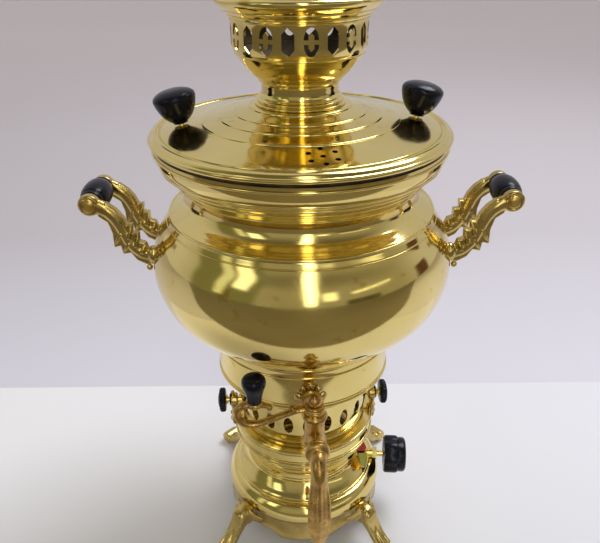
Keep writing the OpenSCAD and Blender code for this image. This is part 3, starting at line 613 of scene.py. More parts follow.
def tap():
    skirt = SKIRT_R + 0.2
    flower = rosette_form(TAP @ moved(y=-skirt + 0.8) @ TOWARDS_TAP, 12.4, 8, 3.2)
    piece("rosette", to_mesh("rosette", [flower]), "tank", CAST, ["tap_rosette"], sharp=50)

    shank = [(0, 60), (6, 60), (6, 72.6), (7.6, 73.2), (8.8, 74.4), (8.8, 76), (7.6, 77.2), (6.2, 77.8),
             (5.6, 80), (5.4, 84), (6, 87), (7.4, 88.4), (7.4, 90), (6, 91.4), (6, 100), (0, 100)]
    drum = [
        (0, -19), (6.6, -19), (7.8, -18), (7.8, -17), (9, -16), (9, -14.6), (7.9, -13.6), (7.4, -9),
        (7.2, -2), (7.3, 3), (7.6, 5.6), (9, 6.4), (9.3, 7.6), (8.8, 8.8), (7.6, 10), (0, 10)]
    pipe = smooth([(0, -PLUG_Y, SPOUT_LOW), (0, -PLUG_Y - 12, SPOUT_LOW), (0, -PLUG_Y - 21, SPOUT_LOW)], 4)
    bend = [(0, -SPOUT_Y + SPOUT_BEND * (1 - sin(a)), SPOUT_LOW - SPOUT_BEND * (1 - cos(a)))
            for a in [radians(15 * k) for k in range(7)]]
    low = SPOUT_TIP_Z - SHANK_Z
    drop = [(0, -SPOUT_Y, z) for z in (-26, -34, -42, -50, -58, -66, -74, -80, -85, low)]
    route = [tuple(p) for p in pipe[:-1]] + bend + drop
    tube = [(5.6, 5.6)] * (len(pipe) - 1) + [(5.6, 5.6)] * len(bend)
    leaf = [
        (5, 6.2), (4.8, 7.1), (4.8, 7.8), (5, 8.2), (5.2, 8.2), (5.2, 7.6), (4.8, 6.5), (4.4, 5.3),
        (3.8, 4.2), (2.6, 3.2)]
    spout = sweep(route, tube + leaf, side=(1, 0, 0), place=TAP, sides=28, steps=3)

    spine = [(-20, 5), (-27, 4.6), (-36, 4.4), (-46, 4.6), (-58, 4.8), (-68, 4.6), (-78, 3.8), (low + 3, 2.6)]
    halves = [(0.8, 0.8), (1.2, 1.5), (1.3, 1.9), (1.3, 2.1), (1.3, 2.0), (1.2, 1.8), (1.0, 1.3), (0.6, 0.5)]
    path = [(0, -SPOUT_Y - out, z) for z, out in spine]
    ridge = sweep(path, halves, side=(1, 0, 0), place=TAP, sides=12, steps=4)
    forms = [spout, ridge]
    for s in (-1, 1):
        edge = [
            (s * 4.2, -SPOUT_Y - 1.8, -23), (s * 5.6, -SPOUT_Y - 2, -32), (s * 6.6, -SPOUT_Y - 2.2, -44),
            (s * 6.8, -SPOUT_Y - 2.2, -56), (s * 6, -SPOUT_Y - 2.2, -68), (s * 4.2, -SPOUT_Y - 2, -79),
            (s * 2.4, -SPOUT_Y - 1.8, low + 3)]
        forms.append(sweep(edge, [0.6, 1.1, 1.4, 1.4, 1.3, 1.1, 0.7], side=(0, 1, 0), place=TAP, sides=12))
    collar = [
        (0, -4.6), (6, -4.6), (8.2, -3.8), (9, -2.2), (8.4, -0.6), (9, 1), (8.2, 2.6), (6, 3.4), (0, 3.4)]
    forms.append(revolve(collar, TAP @ moved(y=-SPOUT_Y + SPOUT_BEND + 2, z=SPOUT_LOW) @ TOWARDS_TAP, 48))
    cast = fused("spout", forms, voxel=0.4, passes=5)
    path = [(0, -SPOUT_Y, low + 14), (0, -SPOUT_Y, low - 6)]
    outlet = sweep(path, [WAY_R - 0.4] * 2, side=(1, 0, 0), place=TAP, sides=24)
    cast = cut(cast, [outlet])
    piece("spout_leaf", cast, "tank", CAST, ["tap_body"], finish="tap_brass", sharp=0)
    mesh = to_mesh("tap_barrel", [revolve(shank, TAP @ TOWARDS_TAP, 64), revolve(drum, PLUG, 72)])
    piece("tap_barrel", mesh, "tank", CAST, finish="tap_brass", sharp=40)
    rim = HUB_Z + 4
    finial = [(0, rim), (6, rim), (6.4, rim + 0.5), (6, rim + 1.1), (4.6, rim + 1.4)]
    finial += [Vector((FINIAL_R * sin(a), FINIAL_Z - FINIAL_R * cos(a)))
               for a in [radians(42 + 138 * k / 16) for k in range(17)]]
    mesh = to_mesh("tap_crest", [revolve(finial, PLUG, 48)])
    piece("tap_crest", mesh, "tap_key", CAST, ["tap_finial"], finish="tap_brass", sharp=45)

    arm = bar([
        (-2, 13.5, 2, 3.4), (-8, 13.5, 2.1, 3.2), (-13, 12.8, 2.2, 3), (-20, 10.2, 2.2, 2.9),
        (-30, 6.4, 2.3, 2.9), (-38, 3.4, 2.5, 3), (-45, 2.8, 2.7, 3.1), (-51.6, 6, 2.8, 3.2),
        (-54.4, 12.6, 2.8, 3.2), (-51.6, 18.6, 2.7, 3.1), (-45, 20.4, 2.4, 2.9), (-38, 19.8, 2.2, 2.7),
        (-31.4, 17.6, 1.5, 1.8)], place=PLUG)
    hub = [(0, 0), (6.6, 0), (7.7, 0.6), (8, 1.6), (7.4, 2.4), (7.3, 3.2), (6.6, 3.9), (0, 3.9)]
    seat = [(0, 0), (4.4, 0), (5.4, 0.8), (4.8, 1.8), (5.2, 2.8), (4.4, 3.8), (0, 3.8)]
    forms = [arm, revolve(hub, PLUG @ moved(z=HUB_Z), 48)]
    forms.append(revolve(seat, PLUG @ moved(LEVER_KNOB_X, 0, LEVER_KNOB_Z - 4), 40))
    forms += [
        ball((-31.6, 0, 16.8), (2.3, 2.3, 2.3), PLUG),
        ball((-14, 0, 14.4), (4, 2.8, 1.5), PLUG, turned(24, "Y")),
        ball((-54.6, 0, 14.4), (2.6, 2.6, 4.2), PLUG), ball((-41, 0, 1.2), (5, 2.6, 1.6), PLUG)]
    mesh = fused("lever", forms, 0.35, 4)
    piece("lever", mesh, "tap_key", CAST, ["tap_lever"], finish="tap_brass", sharp=0)
    knob = smooth([
        (0, 0), (4.4, 0), (5, 0.8), (5.5, 4), (6.4, 8.6), (7.9, 13.4), (8.4, 16.6), (7.6, 19.6),
        (4.8, 21.4), (0, 21.8)], 6)
    place = PLUG @ moved(LEVER_KNOB_X, 0, LEVER_KNOB_Z - 0.1)
    mesh = to_mesh("lever_handle", [revolve(knob, place, 64)])
    piece("lever_handle", mesh, "tap_key", BLACK, ["lever_knob"])


# ---- Handles ----

# outline of an arm's leaf in X and Z: its upper edge from the grip down, then its lower edge back up
LEAF = (
    (147, 312), (140.4, 315.4), (134, 310.4), (129.6, 304.4), (127.4, 298.8), (123.2, 299), (124, 292.2),
    (119.4, 291.8), (120.2, 284.8), (115.4, 283.4), (113.2, 276.8), (108.6, 275.4), (108.6, 269.4),
    (112, 266.6), (116, 265.8), (123, 269.6), (127, 275.6), (132.8, 274.6), (133.8, 281.6), (138.8, 280.4),
    (138.6, 291.8), (141, 301), (147, 305.4))
VEINS = (
    ((127, 288), (124, 297.6)), ((122.4, 281), (120, 290.4)), ((118.6, 276), (116, 282.4)),
    ((132, 292), (138, 282.4)), ((127, 284), (132.2, 276.6)))


def handle_forms(end):
    """Cast bracket of a handle on the +X side, in the plane of X and Z. Its scroll is on the side of end."""
    strap = bar([
        (107, 272.4, 6, 4), (113.6, 272.8, 5.6, 3.6), (120.4, 276, 4.6, 4.2), (126.6, 283, 4.4, 4.4),
        (130.4, 291.6, 4.4, 4.4), (134, 300.6, 4.8, 4.5), (139, 307.6, 5.2, 4.6), (145.6, 311.6, 5.8, 4.2),
        (GRIP_X, GRIP_Z - 0.4, 6.4, 3.6)], sides=24, power=2.2)
    eye = revolve([
        (0, -2.8), (2, -2.6), (2.8, -1.4), (4.2, -1.4), (5.2, -3.4), (6.8, -3.7), (8, -2.4), (8, 2.4),
        (6.8, 3.7), (5.2, 3.4), (4.2, 1.4), (2.8, 1.4), (2, 2.6), (0, 2.8)],
        moved(GRIP_X, 0, GRIP_Z) @ ALONG_Y, 48)
    forms = [strap, eye, prism(LEAF, -3.1, 3.1, turned(90, "X"), 0.8)]
    for (x0, z0), (x1, z1) in VEINS:
        for y in (-3, 3):
            path = [(x0, y * 1.2, z0), ((x0 + x1) / 2, y * 1.1, (z0 + z1) / 2), (x1, y * 0.9, z1)]
            forms.append(sweep(path, [1.4, 1.3, 0.5], sides=10))
    # rounded foot on the tank, and the drop under it
    forms += [
        ball((110.6, 0, 273), (5, 5.6, 7.4)), sweep([(115, 0, 268), (115, 0, 264.6)], [1.7, 1.2], sides=12),
        ball((115, 0, 262.5), (2.4, 2.4, 2.5))]
    # spiral ridge of the scroll round the eye
    spiral = []
    for k in range(19):
        a, r = radians(-70 + 26 * k), 6.4 - 0.3 * k
        spiral.append((GRIP_X + r * cos(a), end * 3.4, GRIP_Z + r * sin(a)))
    forms.append(sweep(spiral, [0.9] * len(spiral), sides=8, steps=2))
    return forms


def handles():
    meshes = {end: fused(f"arm_{end}", handle_forms(end), 0.4, 5) for end in (-1, 1)}
    caps = []
    length = 2 * ARM_Y - ARM_W
    half = [(0, 0), (7.2, 0), (8.4, 1.2), (8.7, 2.8), (8.2, 3.8), (9.4, 6), (10.5, 11), (10.8, length / 2)]
    barrel = smooth(half + [(r, length - y) for r, y in half[-2::-1]], 5)
    for side, word in ((-1, "left"), (1, "right")):
        for end, where in ((-1, "front"), (1, "rear")):
            # the mesh for the left side is the right one turned half round, so its ends change places
            mesh = meshes[end * side].copy()
            mesh.transform(turned(0 if side > 0 else 180) @ moved(y=end * side * ARM_Y * MM))
            piece(f"arm_{word}_{where}", mesh, "tank", CAST, [f"handle_arm_{word}_{where}"], sharp=0)
            place = moved(side * GRIP_X, end * CAP_Y, GRIP_Z) @ turned(-90 * end, "X")
            caps.append(revolve([(0, 0), (4.5, 0), (4.9, 0.7), (4.5, 1.6), (3, 2.4), (0, 2.7)], place, 36))
        mesh = to_mesh("barrel", [revolve(barrel, moved(side * GRIP_X, -length / 2, GRIP_Z) @ ALONG_Y, 72)])
        piece(f"barrel_{word}", mesh, "tank", BLACK, [f"grip_{word}"])
    piece("grip_caps", to_mesh("grip_caps", caps), "tank", BRASS, ["grip_nuts"], finish="tap_brass")


# ---- Lid ----

STEAM_R, STEAM_RING, STEAM_TURN, STEAM_Y = 1.8, 9.5, 9.4, -82
STEAM_CUT_FOOT, STEAM_CUT_TOP = 350, 390
LID_STEPS = (((38, 378.9), (46.6, 377.3)), ((48.8, 376), (57, 374.5)), ((59.2, 373.2), (69, 371.3)),
             ((71.4, 369.9), (97, 365.4)))


def lid_knob_place(side):
    turn = turned(LID_TURN + (180 if side < 0 else 0))
    return turn @ moved(LID_KNOB_X, 0, LID_KNOB_Z) @ turned(LID_SLOPE, "Y")


def lid():
    top = vectors(
        (23.6, CROWN_Z + 4.6), (24.6, CROWN_Z + 5), (25.4, CROWN_Z + 4.4), (25.5, CROWN_Z + 0.6),
        (26.4, CROWN_Z), (35, CROWN_Z))
    top += arc((35, CROWN_Z - 1.4), 1.4, 90, 0, 5)
    for inner, (r, z) in LID_STEPS:
        inner = Vector(inner)
        top += [inner] + [inner.lerp(Vector((r, z)), t) for t in (0.25, 0.5, 0.75)]
        top += arc((r, z - 1.1), 1.1, 80, 8, 5)
    top += arc((99.8, 365.2), 1.2, 200, 330, 5)
    top += smooth([(101, 365.2), (102.4, 365.4), (104.6, 364.4)], 3)
    top += arc((105.3, 361), 1.7, 78, -80, 10)
    top += vectors(
        (105, MOUTH_Z + 0.8), (104, MOUTH_Z + 0.1), (95, MOUTH_Z + 0.1), (95, 351.6), (93.8, 351.6))
    under = vectors((93.6, 365.0), (71, 368.9), (58, 372.3), (48, 375), (38, 377.6), (34.6, CROWN_Z - 1.5),
                    (23.6, CROWN_Z - 1.5))
    holes = []
    for k in range(7):
        a = radians(30 + 60 * k)
        r = STEAM_RING if k < 6 else 0
        place = turned(STEAM_TURN) @ moved(r * cos(a), STEAM_Y + r * sin(a), 0)
        holes.append(rod(STEAM_R, STEAM_CUT_FOOT, STEAM_CUT_TOP, place, 20))
    mesh = cut(to_mesh("cover", [revolve(top + under, turns=240)]), holes)
    # the lid's edge over the seam gets painted shade
    sooted_or_shaded(piece("cover", mesh, "lid", BRASS, ["lid_shell"], sharp=0), in_shaded_seam)

    knob = [Vector((0, 0.12))] + smooth([
        (5.2, 0.12), (5.6, 1), (7.8, 2.8), (10.2, 5.4), (12.2, 8.6), (13.6, 12), (14.5, 15.2), (14.8, 17.4),
        (14.2, 19.4), (11.8, 21.4), (7, 23), (0, 23.6)], 6)
    for side, word in ((-1, "left"), (1, "right")):
        mesh = to_mesh("lid_handle", [revolve(knob, lid_knob_place(side), 72)])
        piece(f"lid_handle_{word}", mesh, "lid", BLACK, [f"lid_knob_{word}"])


# ---- Crown ----

OPENINGS, OPENING_TURN, OPENING_Z, OPENING_HALF = 20, 9, 427.3, 8.6
SLOT_HALF_W, CRESCENT_HALF_W, CRESCENT_GAP, OPENING_CUT = 4, 4.7, 1.3, 14
CROWN_HOLE_R, CROWN_NECK_R, CROWN_NECK_Z = 26.1, 26.8, 393
BOWL_TOP_R, BOWL_TOP_Z = GALLERY_R - 1, 417.5


def pointed(half_w, half_h):
    """Bar with pointed ends, as an outline in X (up) and Y."""
    low, high = half_w - half_h, half_h - half_w
    return [(low, -half_w), (-half_h, 0), (low, half_w), (high, half_w), (half_h, 0), (high, -half_w)]


def crescent(sign):
    """Half of an oval ring, as an outline in X (up) and Y."""
    reach = OPENING_HALF - CRESCENT_GAP
    outer = [(sign * (CRESCENT_GAP + reach * sin(a)), CRESCENT_HALF_W * cos(a))
             for a in [pi * k / 14 for k in range(15)]]
    inner = [(CRESCENT_GAP, -1.8), (3.6, -1.8), (5.6, 0), (3.6, 1.8), (CRESCENT_GAP, 1.8)]
    return outer + [(sign * x, y) for x, y in inner]


def crown():
    foot = [(CROWN_HOLE_R, CROWN_Z + 0.05), (30.8, CROWN_Z + 0.05)] + arc((30.8, 382), 0.95, -60, 90, 7)
    foot += [(29.8, 383.3)] + arc((29.4, 384.4), 0.9, -60, 80, 6)
    foot += [(28.4, 385.8)] + arc((27.9, 386.6), 0.7, -60, 70, 5)
    foot += smooth([(28, 387.3), (27.2, 388.4), (CROWN_NECK_R, 390.4), (CROWN_NECK_R, CROWN_NECK_Z)])
    foot += [(CROWN_NECK_R - SHEET, CROWN_NECK_Z), (CROWN_NECK_R - SHEET, 388), (CROWN_HOLE_R, 387)]
    sooted_or_shaded(spun_piece("crown_base", foot, "crown", "crown_foot", 160), inward)

    low = smooth([
        (BOWL_TOP_R, BOWL_TOP_Z), (43, 414), (39.6, 409.2), (36.6, 405.6), (33.2, 401.9), (28.8, 398.2),
        (27, 395.6), (CROWN_NECK_R, CROWN_NECK_Z)], 8)
    low = beaded(low, ((43.9, 415.4), 0.6), ((28.4, 398), 0.7))
    sooted_or_shaded(spun_piece("bowl", shell(low, SHEET), "crown", "crown_bowl", 180), inward)

    band = smooth([
        (CROWN_R - 2, CROWN_TOP_Z - 0.5), (CROWN_R - 0.9, CROWN_TOP_Z - 1.2), (CROWN_R - 0.2, 449.4),
        (CROWN_R - 0.8, 447.2), (53, 444.6), (49.4, 441.8), (47, 439), (46, 436.2), (GALLERY_R, 432),
        (GALLERY_R, 427), (GALLERY_R, 421.4), (BOWL_TOP_R, BOWL_TOP_Z)], 6)
    band = beaded(band, ((50.6, 442.8), 0.6), ((47.4, 439.6), 0.7), ((46.2, 437.2), 0.6))
    lip = vectors((47.4, CROWN_TOP_Z - 1.6), (47.2, CROWN_TOP_Z - 0.4), (48, CROWN_TOP_Z), (54, CROWN_TOP_Z))
    inside = [p for p in shell(band, SHEET)[len(band):] if p.y < CROWN_TOP_Z - 3]
    cutters = []
    for k in range(OPENINGS):
        turn = turned(-90 + OPENING_TURN + 360 * k / OPENINGS)
        place = turn @ moved(GALLERY_R - OPENING_CUT / 2, 0, OPENING_Z) @ turned(-90, "Y")
        shapes = [crescent(1), crescent(-1)] if k % 2 == 0 else [pointed(SLOT_HALF_W, OPENING_HALF)]
        cutters += [prism(shape, -OPENING_CUT, 0, place) for shape in shapes]
    mesh = cut(to_mesh("gallery", [revolve(lip + band + inside, turns=216)]), cutters)
    sooted_or_shaded(piece("gallery", mesh, "crown", BRASS, ["crown_gallery"], sharp=0), inward)


# ---- Base ----

APRON_Z, ARCH_TURN, ARCH_R, ARCH_Z = 17, 33.5, 27, -3
LEG_TURNS = {"front_left": 225, "front_right": 315, "rear_left": 135, "rear_right": 45}
AIR_HOLES, AIR_HOLE_R, AIR_HOLE_Z = 20, 1.8, 87.4
LEG_SCREW_R, LEG_SCREW_Z, LEG_SCREW_TILT, LEG_SLOPE = 84.8, (29.5, 37), 62, 0.46


def apron_foot(angle):
    """Height of the apron's lower edge at an angle in radians."""
    best = APRON_Z
    for k in range(4):
        for s in (-1, 1):
            off = math.remainder(angle - radians(90 * k + s * ARCH_TURN), 2 * pi)
            reach = PLATE_R * sin(off)
            if abs(off) < 1 and abs(reach) < ARCH_R:
                best = max(best, ARCH_Z + math.sqrt(ARCH_R ** 2 - reach ** 2))
    return best


def base_shells():
    flat = [(50, PLATE_Z - 0.1), (50, PLATE_Z - 5), (PLATE_R - 3.6, PLATE_Z - 5)]
    # wall from its inner face round its thick lower rim to its top: radius, and share of the height there
    rows = [
        (PLATE_R - 3.6, 0.85), (PLATE_R - 3.4, 0.3), (PLATE_R - 3, 0.0), (PLATE_R - 0.5, 0.0),
        (PLATE_R, 0.04), (PLATE_R, 0.14), (PLATE_R - 0.7, 0.2), (PLATE_R - 1.1, 0.3), (PLATE_R - 1.1, 0.84),
        (PLATE_R - 0.6, 0.9), (PLATE_R - 0.1, 0.93), (PLATE_R - 0.1, 1.0)]
    sections, turns = [], 288
    for k in range(turns):
        a = 2 * pi * k / turns
        low = apron_foot(a)
        section = flat + [(r, low + (PLATE_Z - 0.1 - low) * t) for r, t in rows]
        sections.append([Vector((r * cos(a), r * sin(a), z)) for r, z in section])
    piece("plate", to_mesh("plate", [wrap(sections)]), "base", CAST, ["base_plate"], sharp=50)

    bell = smooth([
        (BELL_R - 1.5, 95), (BELL_R - 2, 92.4), (BELL_R - 4, 89.6), (BELL_R - 8.4, 83), (BELL_R - 10.4, 75),
        (BELL_R - 9.4, 67.5), (BELL_R - 5, 61), (BELL_R - 0.6, 57), (BELL_R + 0.2, 54.4),
        (PLATE_R - 4.4, 52.8), (PLATE_R - 1.4, 49), (PLATE_R + 0.3, 44.4), (PLATE_R + 0.7, 41),
        (PLATE_R + 0.5, PLATE_Z)], 6)
    bell = beaded(bell, ((BELL_R + 0.2, 55), 1.1), ((BELL_R - 9.7, 68.2), 1.0), ((BELL_R - 10.2, 71), 0.6),
                  ((BELL_R - 8.6, 83), 1.0), ((BELL_R - 3, 90.8), 0.8))
    holes = []
    for k in range(AIR_HOLES):
        place = turned(360 * (k + 0.5) / AIR_HOLES) @ moved(40, 0, AIR_HOLE_Z) @ ALONG_X
        holes.append(rod(AIR_HOLE_R, 0, 30, place, 18))
    mesh = cut(to_mesh("bell", [revolve(shell(bell, SHEET), turns=200)]), holes)
    piece("bell", mesh, "base", BRASS, ["base_bell"], sharp=0)

    ring = vectors(
        (50, FLANGE_Z - 0.1), (50, FLANGE_Z - 1.5), (BELL_R - 1.6, FLANGE_Z - 1.5), (BELL_R - 1.6, 96.4),
        (BELL_R - 3, 96.4), (BELL_R - 3, 95))
    wall = vectors((BELL_R - 1, 95.1), (BELL_R, 96), (BELL_R, 111), (BELL_R - 0.8, FLANGE_Z - 0.1))
    wall = beaded(
        wall, ((BELL_R, 97.2), -1.1), ((BELL_R, 100), -0.6), ((BELL_R, 107.4), -0.6),
        ((BELL_R, 110.2), -1.2))
    spun_piece("cup_ring", ring + wall, "base", "base_flange", 200)


def leg_forms():
    """Cast leg in the plane of X and Z, standing on +X."""
    strap = bar([
        (70, 33, 10, 6.8), (76.4, 33.4, 10, 6.8), (79.4, 31.2, 7.4, 6.8), (82.6, 27.2, 5, 6.6),
        (86.6, 21.6, 3.4, 6.4), (91.4, 15.6, 3, 6.3), (97, 10.4, 3.4, 6.4), (103, 7.6, 4.2, 6.8),
        (109, 6.4, 4.8, 7)], sides=28, power=3.2)
    rib = bar([
        (78.6, 42.6, 1, 1.2), (81.2, 36, 1.6, 2), (84.4, 29.6, 1.8, 2), (88.8, 23, 1.8, 1.9),
        (94, 17.2, 1.8, 1.9), (99.6, 13.6, 1.9, 2.2), (105, 12, 1.2, 2)], sides=16)
    toe = sweep([(109.5, -7.4, 7.2), (109.5, -6.2, 7.2), (109.5, 6.2, 7.2), (109.5, 7.4, 7.2)],
                [(4.4, 4.4), (5.6, 5.6), (5.6, 5.6), (4.4, 4.4)], side=(1, 0, 0), sides=24)
    forms = [strap, rib, toe, ball((110.4, 0, 3.4), (7.6, 7.4, 3.6))]
    for s in (-1, 1):
        # raised borders with grooves between them and the rib
        path = [(78, s * 5.6, 43), (80.8, s * 5.7, 37), (84.4, s * 5.6, 29), (88.8, s * 5.4, 22.2),
                (94, s * 5.4, 16.4), (100, s * 5.8, 12.4)]
        forms.append(sweep(path, [(1, 1)] + [(1.2, 1.1)] * 4 + [(1, 1)], sides=12))
        # brackets that spread from the leg's head along the stand ring
        forms.append(sweep([(74, s * 4, 36), (71.6, s * 10, 34), (67.4, s * 16, 33)],
                           [(8, 2.4), (5, 1.8), (2, 1.2)], side=(1, 0, 0), sides=16))
    return forms


def legs():
    rough = fused("leg", leg_forms(), 0.5, 4)
    ring = [revolve([
        (0, -5), (PLATE_R - 1.2, -5), (PLATE_R - 1.2, PLATE_Z + 0.4), (PLATE_R + 0.9, PLATE_Z + 0.4),
        (PLATE_R + 0.4, 45.4), (PLATE_R - 1.6, 50), (0, 50)], turns=160)]
    rough = cut(rough, ring)
    for name, turn in LEG_TURNS.items():
        mesh = rough.copy()
        for v in mesh.vertices:
            v.co.z = max(v.co.z, 0)
        mesh.transform(turned(turn))
        piece(f"foot_{name}", mesh, "base", CAST, [f"leg_{name}"], sharp=0)


def screws():
    forms = []
    for turn in LEG_TURNS.values():
        for z in LEG_SCREW_Z:
            face = LEG_SCREW_R - (z - LEG_SCREW_Z[0]) * LEG_SLOPE
            head = [(0, -3), (2.6, -3), (2.6, -0.6)] + arc((0, -1.6), 3, 30, 90, 6)
            forms.append(revolve(head, turned(turn) @ moved(face, 0, z) @ turned(LEG_SCREW_TILT, "Y"), 32))
    piece("leg_screw_heads", to_mesh("leg_screw_heads", forms), "base", BRASS, ["leg_screws"])


# ---- Clamps and gas knob ----

CLAMP_HOLE_R, FLUTES, FLUTE_DEPTH, FLUTE_R = 2.7, 24, 0.55, 9.6
LOBES, NOTCH_DEPTH, LOBE_R = 8, 1.1, 15.7


def fluted(a, r):
    """Radius of a clamp knob's edge, with shallow flutes in it."""
    return r - FLUTE_DEPTH * (0.5 - 0.5 * cos(FLUTES * a)) if r > FLUTE_R else r


def lobed(a, r):
    """Radius of the gas knob's edge, with notches between its lobes."""
    notch = math.exp(-((math.remainder(a * LOBES / (2 * pi), 1)) * 4) ** 2)
    return r - NOTCH_DEPTH * notch if r > LOBE_R else r


def clamps():
    strap = bar([
        (BELL_R + 1.6, 97.6, 1.6, 4.6), (BELL_R + 2, 104, 2, 6.4), (BELL_R + 1.8, 112, 1.6, 4.8),
        (BELL_R + 2, 119, 1.8, 5.6)], power=3)
    boss = [(0, BELL_R - 2.4), (5.2, BELL_R - 2.4), (6, BELL_R - 1.4), (6, BELL_R + 3.4), (5, BELL_R + 4.8),
            (0, BELL_R + 4.8)]
    plain = [
        strap, revolve(boss, moved(z=CLAMP_Z) @ ALONG_X, 40), ball((BELL_R + 2, 0, 128.6), (1.8, 3.4, 2.4)),
        ball((BELL_R + 3.6, 0, 101.4), (1.6, 2.4, 2.4)), ball((BELL_R + 3.6, 0, 107.4), (1.5, 2.2, 2.2))]
    disc = [
        (2.6, 67.7), (6, 67.7), (9.2, 68.1), (10.1, 68.7), (10.6, 69.8), (10.6, 72), (10, 73), (8.8, 73.6),
        (7.4, 73.4), (6, 74.2), (3, 74.9), (0, 75), (0, 73.1), (2.6, 73.1)]
    for side, word in ((-1, "left"), (1, "right")):
        clamp_place = turned(CLAMP_TURN + (180 if side < 0 else 0))
        screw_place = clamp_place @ moved(z=CLAMP_Z) @ ALONG_X
        forms = [([clamp_place @ v for v in verts], faces) for verts, faces in plain]
        cast = cut(fused("clamp", forms, 0.4, 4), [rod(CLAMP_HOLE_R, 40, 90, screw_place, 24)])
        piece(f"clamp_{word}", cast, "base", CAST, [f"clamp_bracket_{word}"], sharp=0)
        mesh = to_mesh("clamp_disc", [revolve(disc, screw_place, 144, fluted)])
        piece(f"clamp_disc_{word}", mesh, f"{word}_screw_knob", BLACK, [f"clamp_knob_{word}"])


def gas_knob():
    disc = [
        (2.55, 74), (8, 74), (8.6, 73.8), (15.8, 73.8), (16.9, 74.6), (17.4, 76), (17.4, 84.2), (17, 85.6),
        (16, 86.4), (15.5, 87), (15.5, 91), (14.8, 92.4), (13.4, 93.4), (9, 93.6), (8.2, 93), (7.4, 93.4),
        (0, 93.5), (0, 84.1), (2.55, 84.1)]
    mesh = to_mesh("gas_dial", [revolve(disc, VALVE @ ALONG_X, 192, lobed)])
    piece("gas_dial", mesh, "gas_control", BLACK, ["valve_knob"])


# outlines of the two-colour plate beside the valve: angle round the base in degrees, height
INDEX_FOOT_Z, INDEX_TOP_Z, INDEX_LEAN, INDEX_GAP = 55.6, 88.8, 5.2, 0.4
RED = ((-34.6, 86.4), (-33.6, 88.6), (-24, 88.6), (-20.4, 85.3), (-15, 75), (-17.5, 72.4), (-26, 79.6))
YELLOW = (
    (-32.6, 80.8), (-31.4, 81.4), (-16, 68.8), (-15, 66), (-15.8, 62.5), (-20.1, 60.1), (-25.5, 61),
    (-30.2, 66.2), (-32.4, 75))
BACKING = (
    (-35.2, 86.8), (-33.9, 88.8), (-23.6, 88.8), (-19.8, 85.6), (-14.2, 75), (-14.2, 66), (-15.2, 62),
    (-19.9, 59.4), (-25.9, 60.2), (-31, 65.8), (-33.4, 75), (-34.6, 82))


def curved_plate(outline, low, high, steps=28):
    """Outline laid on the plate's cone round the base, from low to high above it."""
    def point(angle, z, above):
        r = BELL_R + INDEX_GAP - INDEX_LEAN * (z - INDEX_FOOT_Z) / (INDEX_TOP_Z - INDEX_FOOT_Z) + above
        a = radians(angle)
        return Vector((r * cos(a), r * sin(a), z))

    start, end = min(x for x, z in outline), max(x for x, z in outline)
    verts, faces = [], []
    for k in range(steps + 1):
        x = start + (end - start) * min(max(k / steps, 0.002), 0.998)
        edges = zip(outline, outline[1:] + outline[:1])
        cuts = [z0 + (z1 - z0) * (x - x0) / (x1 - x0) for (x0, z0), (x1, z1) in edges
                if min(x0, x1) <= x <= max(x0, x1) and x0 != x1]
        foot, top = min(cuts), max(cuts)
        verts += [point(x, foot, low), point(x, foot, high), point(x, top, high), point(x, top, low)]
    for k in range(steps):
        faces += [(4 * k + i, 4 * k + 4 + i, 4 * k + 4 + (i + 1) % 4, 4 * k + (i + 1) % 4) for i in range(4)]
    return verts, faces + [(0, 1, 2, 3), tuple(range(4 * steps, 4 * steps + 4))]


def index_plate():
    for name, outline, low, high, slot, nodes in (
            ("index_red", RED, 0.1, 0.8, "label_red", ["index_plate_red"]),
            ("index_yellow", YELLOW, 0.1, 0.8, "label_yellow", ["index_plate_yellow"]),
            ("index_back", BACKING, -0.4, 0.3, BRASS, [])):
        piece(name, to_mesh(name, [curved_plate(outline, low, high)]), "base", slot, nodes)


# ---- Floor, light ----

WALL_Y = 0.17
SHEET_FRONT_Y, SHEET_SIDE_X = -0.235, 0.42
FLOOR_HALF = 6.0


def make_floor():
    """Plain floor: a pale sheet under the object, painted lighter on its left as painted light over the
    object's shadow, a greyer wall tone behind it and a duller tone in front.
    """
    mesh = bpy.data.meshes.new("floor")
    corners = [(x * FLOOR_HALF, y * FLOOR_HALF, 0) for x, y in ((-1, -1), (1, -1), (1, 1), (-1, 1))]
    mesh.from_pydata(corners, [], [(0, 1, 2, 3)])
    floor = bpy.data.objects.new("floor", mesh)
    scene.collection.objects.link(floor)
    g = Graph("floor")
    place = g.place()
    across, along = (g.node("SeparateXYZ", {0: place}).outputs[axis] for axis in "XY")
    # the sheet goes from lighter at -X to greyer at +X: painted light that lifts the object's shadow on its
    # left
    sheet = g.ramp(
        g.math("MULTIPLY_ADD", across, 1.2, 0.5), [(0.1, (0.95, 0.93, 0.97)), (0.75, (0.81, 0.81, 0.87))])
    wall = g.ramp(g.math("MULTIPLY", along, 0.25), [
        (0.05, (0.74, 0.72, 0.81)), (0.15, (0.62, 0.58, 0.63)), (0.75, (0.84, 0.75, 0.81))])
    front = g.mix(g.noise(5, 3, place), (0.26, 0.22, 0.16), (0.2, 0.165, 0.11))
    beside = g.math("GREATER_THAN", g.math("ABSOLUTE", across), SHEET_SIDE_X)
    tone = g.mix(g.math("MAXIMUM", beside, g.math("GREATER_THAN", along, WALL_Y)), sheet, wall)
    mesh.materials.append(g.finish(g.mix(g.math("LESS_THAN", along, SHEET_FRONT_Y), tone, front), 0.75))


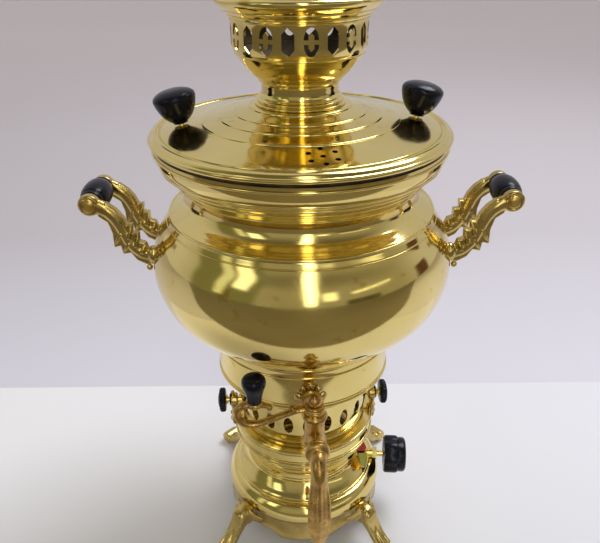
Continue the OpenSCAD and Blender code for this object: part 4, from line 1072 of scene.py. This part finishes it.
def patch(g, way, azimuth, elevation, half, soft):
    """1 inside a soft-edged rectangle round one direction of the world, 0 outside.

    half is its half width and half height.
    """
    turn = (turned(azimuth) @ turned(-elevation, "Y")).to_3x3()
    dots = [g.node("VectorMath", {0: way}, operation="DOT_PRODUCT", inputs={1: turn @ Vector(axis)})
            for axis in ((1, 0, 0), (0, 1, 0), (0, 0, 1))]
    ahead, right, up = (dot.outputs["Value"] for dot in dots)
    mask = g.math("GREATER_THAN", ahead, 0.05)
    for side, size in ((right, half[0]), (up, half[1])):
        off = g.math("ABSOLUTE", g.math("DIVIDE", side, ahead))
        mask = g.math("MULTIPLY", mask, g.fade(off, size, size + soft, 1.0, 0.0))
    return mask


# plain areas of the room round the object: direction, half size, soft edge, colour
ROOM = (
    ((-150, 12), (0.42, 0.5), 0.15, (0.19, 0.19, 0.1)),
    ((-137, 30), (0.05, 0.15), 0.1, (1.7, 1.7, 1.45)),
    ((-152, 20), (0.03, 0.28), 0.08, (0.8, 0.82, 0.62)),
    ((-84, 34), (0.03, 0.6), 0.09, (3.6, 3.6, 3.2)),
    ((-70, 15), (0.04, 0.07), 0.09, (1.7, 1.7, 1.4)),
    ((-38, 17), (0.26, 0.008), 0.03, (1.5, 1.5, 1.2)),
    ((-46, 1), (0.2, 0.05), 0.05, (0.1, 0.085, 0.045)),
    ((8, -4), (0.09, 0.26), 0.05, (0.1, 0.05, 0.03)),
)
# where the room's dull front gives way to its pale back, and its walls to its ceiling
FRONT_FADE, CEILING_FADE = (-0.3, 0.35), (0.35, 0.85)


def make_world():
    """Room round the object: pale behind it, duller in front, with a few windows and plain dark areas."""
    world = bpy.data.worlds.new("world")
    scene.world = world
    g = Graph(world)
    way = g.node("TexCoord").outputs["Generated"]
    y, z = (g.node("SeparateXYZ", {0: way}).outputs[axis] for axis in "YZ")
    front = g.fade(y, *FRONT_FADE, 1.0, 0.0)
    high = g.fade(z, *CEILING_FADE)
    near = g.mix(g.noise(2.2, 3, way), (0.3, 0.28, 0.21), (0.4, 0.375, 0.3))
    room = g.mix(high, near, (0.14, 0.125, 0.09))
    pale = g.mix(high, (0.55, 0.54, 0.56), (0.6, 0.59, 0.62))
    colour = g.mix(front, pale, room)
    for (azimuth, elevation), half, soft, tone in ROOM:
        colour = g.mix(patch(g, way, azimuth, elevation, half, soft), colour, tone)
    back = g.node("Background", {"Color": colour})
    g.node("OutputWorld", {"Surface": back.outputs[0]})


LAMP_PLACE, LAMP_TARGET, LAMP_SIZE = Vector((0.75, 0.5, 1.75)), Vector((0, 0, 0.15)), 0.9
LAMP_POWER, LAMP_COLOUR = 20, (0.94, 0.96, 1.0)


def make_lamp():
    data = bpy.data.lights.new("ceiling", "AREA")
    data.shape = "RECTANGLE"
    data.size, data.size_y = LAMP_SIZE, LAMP_SIZE
    data.energy, data.color = LAMP_POWER, LAMP_COLOUR
    thing = bpy.data.objects.new("ceiling", data)
    thing.location = LAMP_PLACE
    thing.rotation_euler = (LAMP_TARGET - LAMP_PLACE).to_track_quat("-Z", "Y").to_euler()
    scene.collection.objects.link(thing)


make_camera()
dress_frame()
for build in (tank_shells, fire_collar, tap, handles, lid, crown, base_shells, legs, screws, clamps, gas_knob,
              index_plate):
    build()
make_floor()
make_world()
make_lamp()

scene.view_settings.view_transform = "Standard"
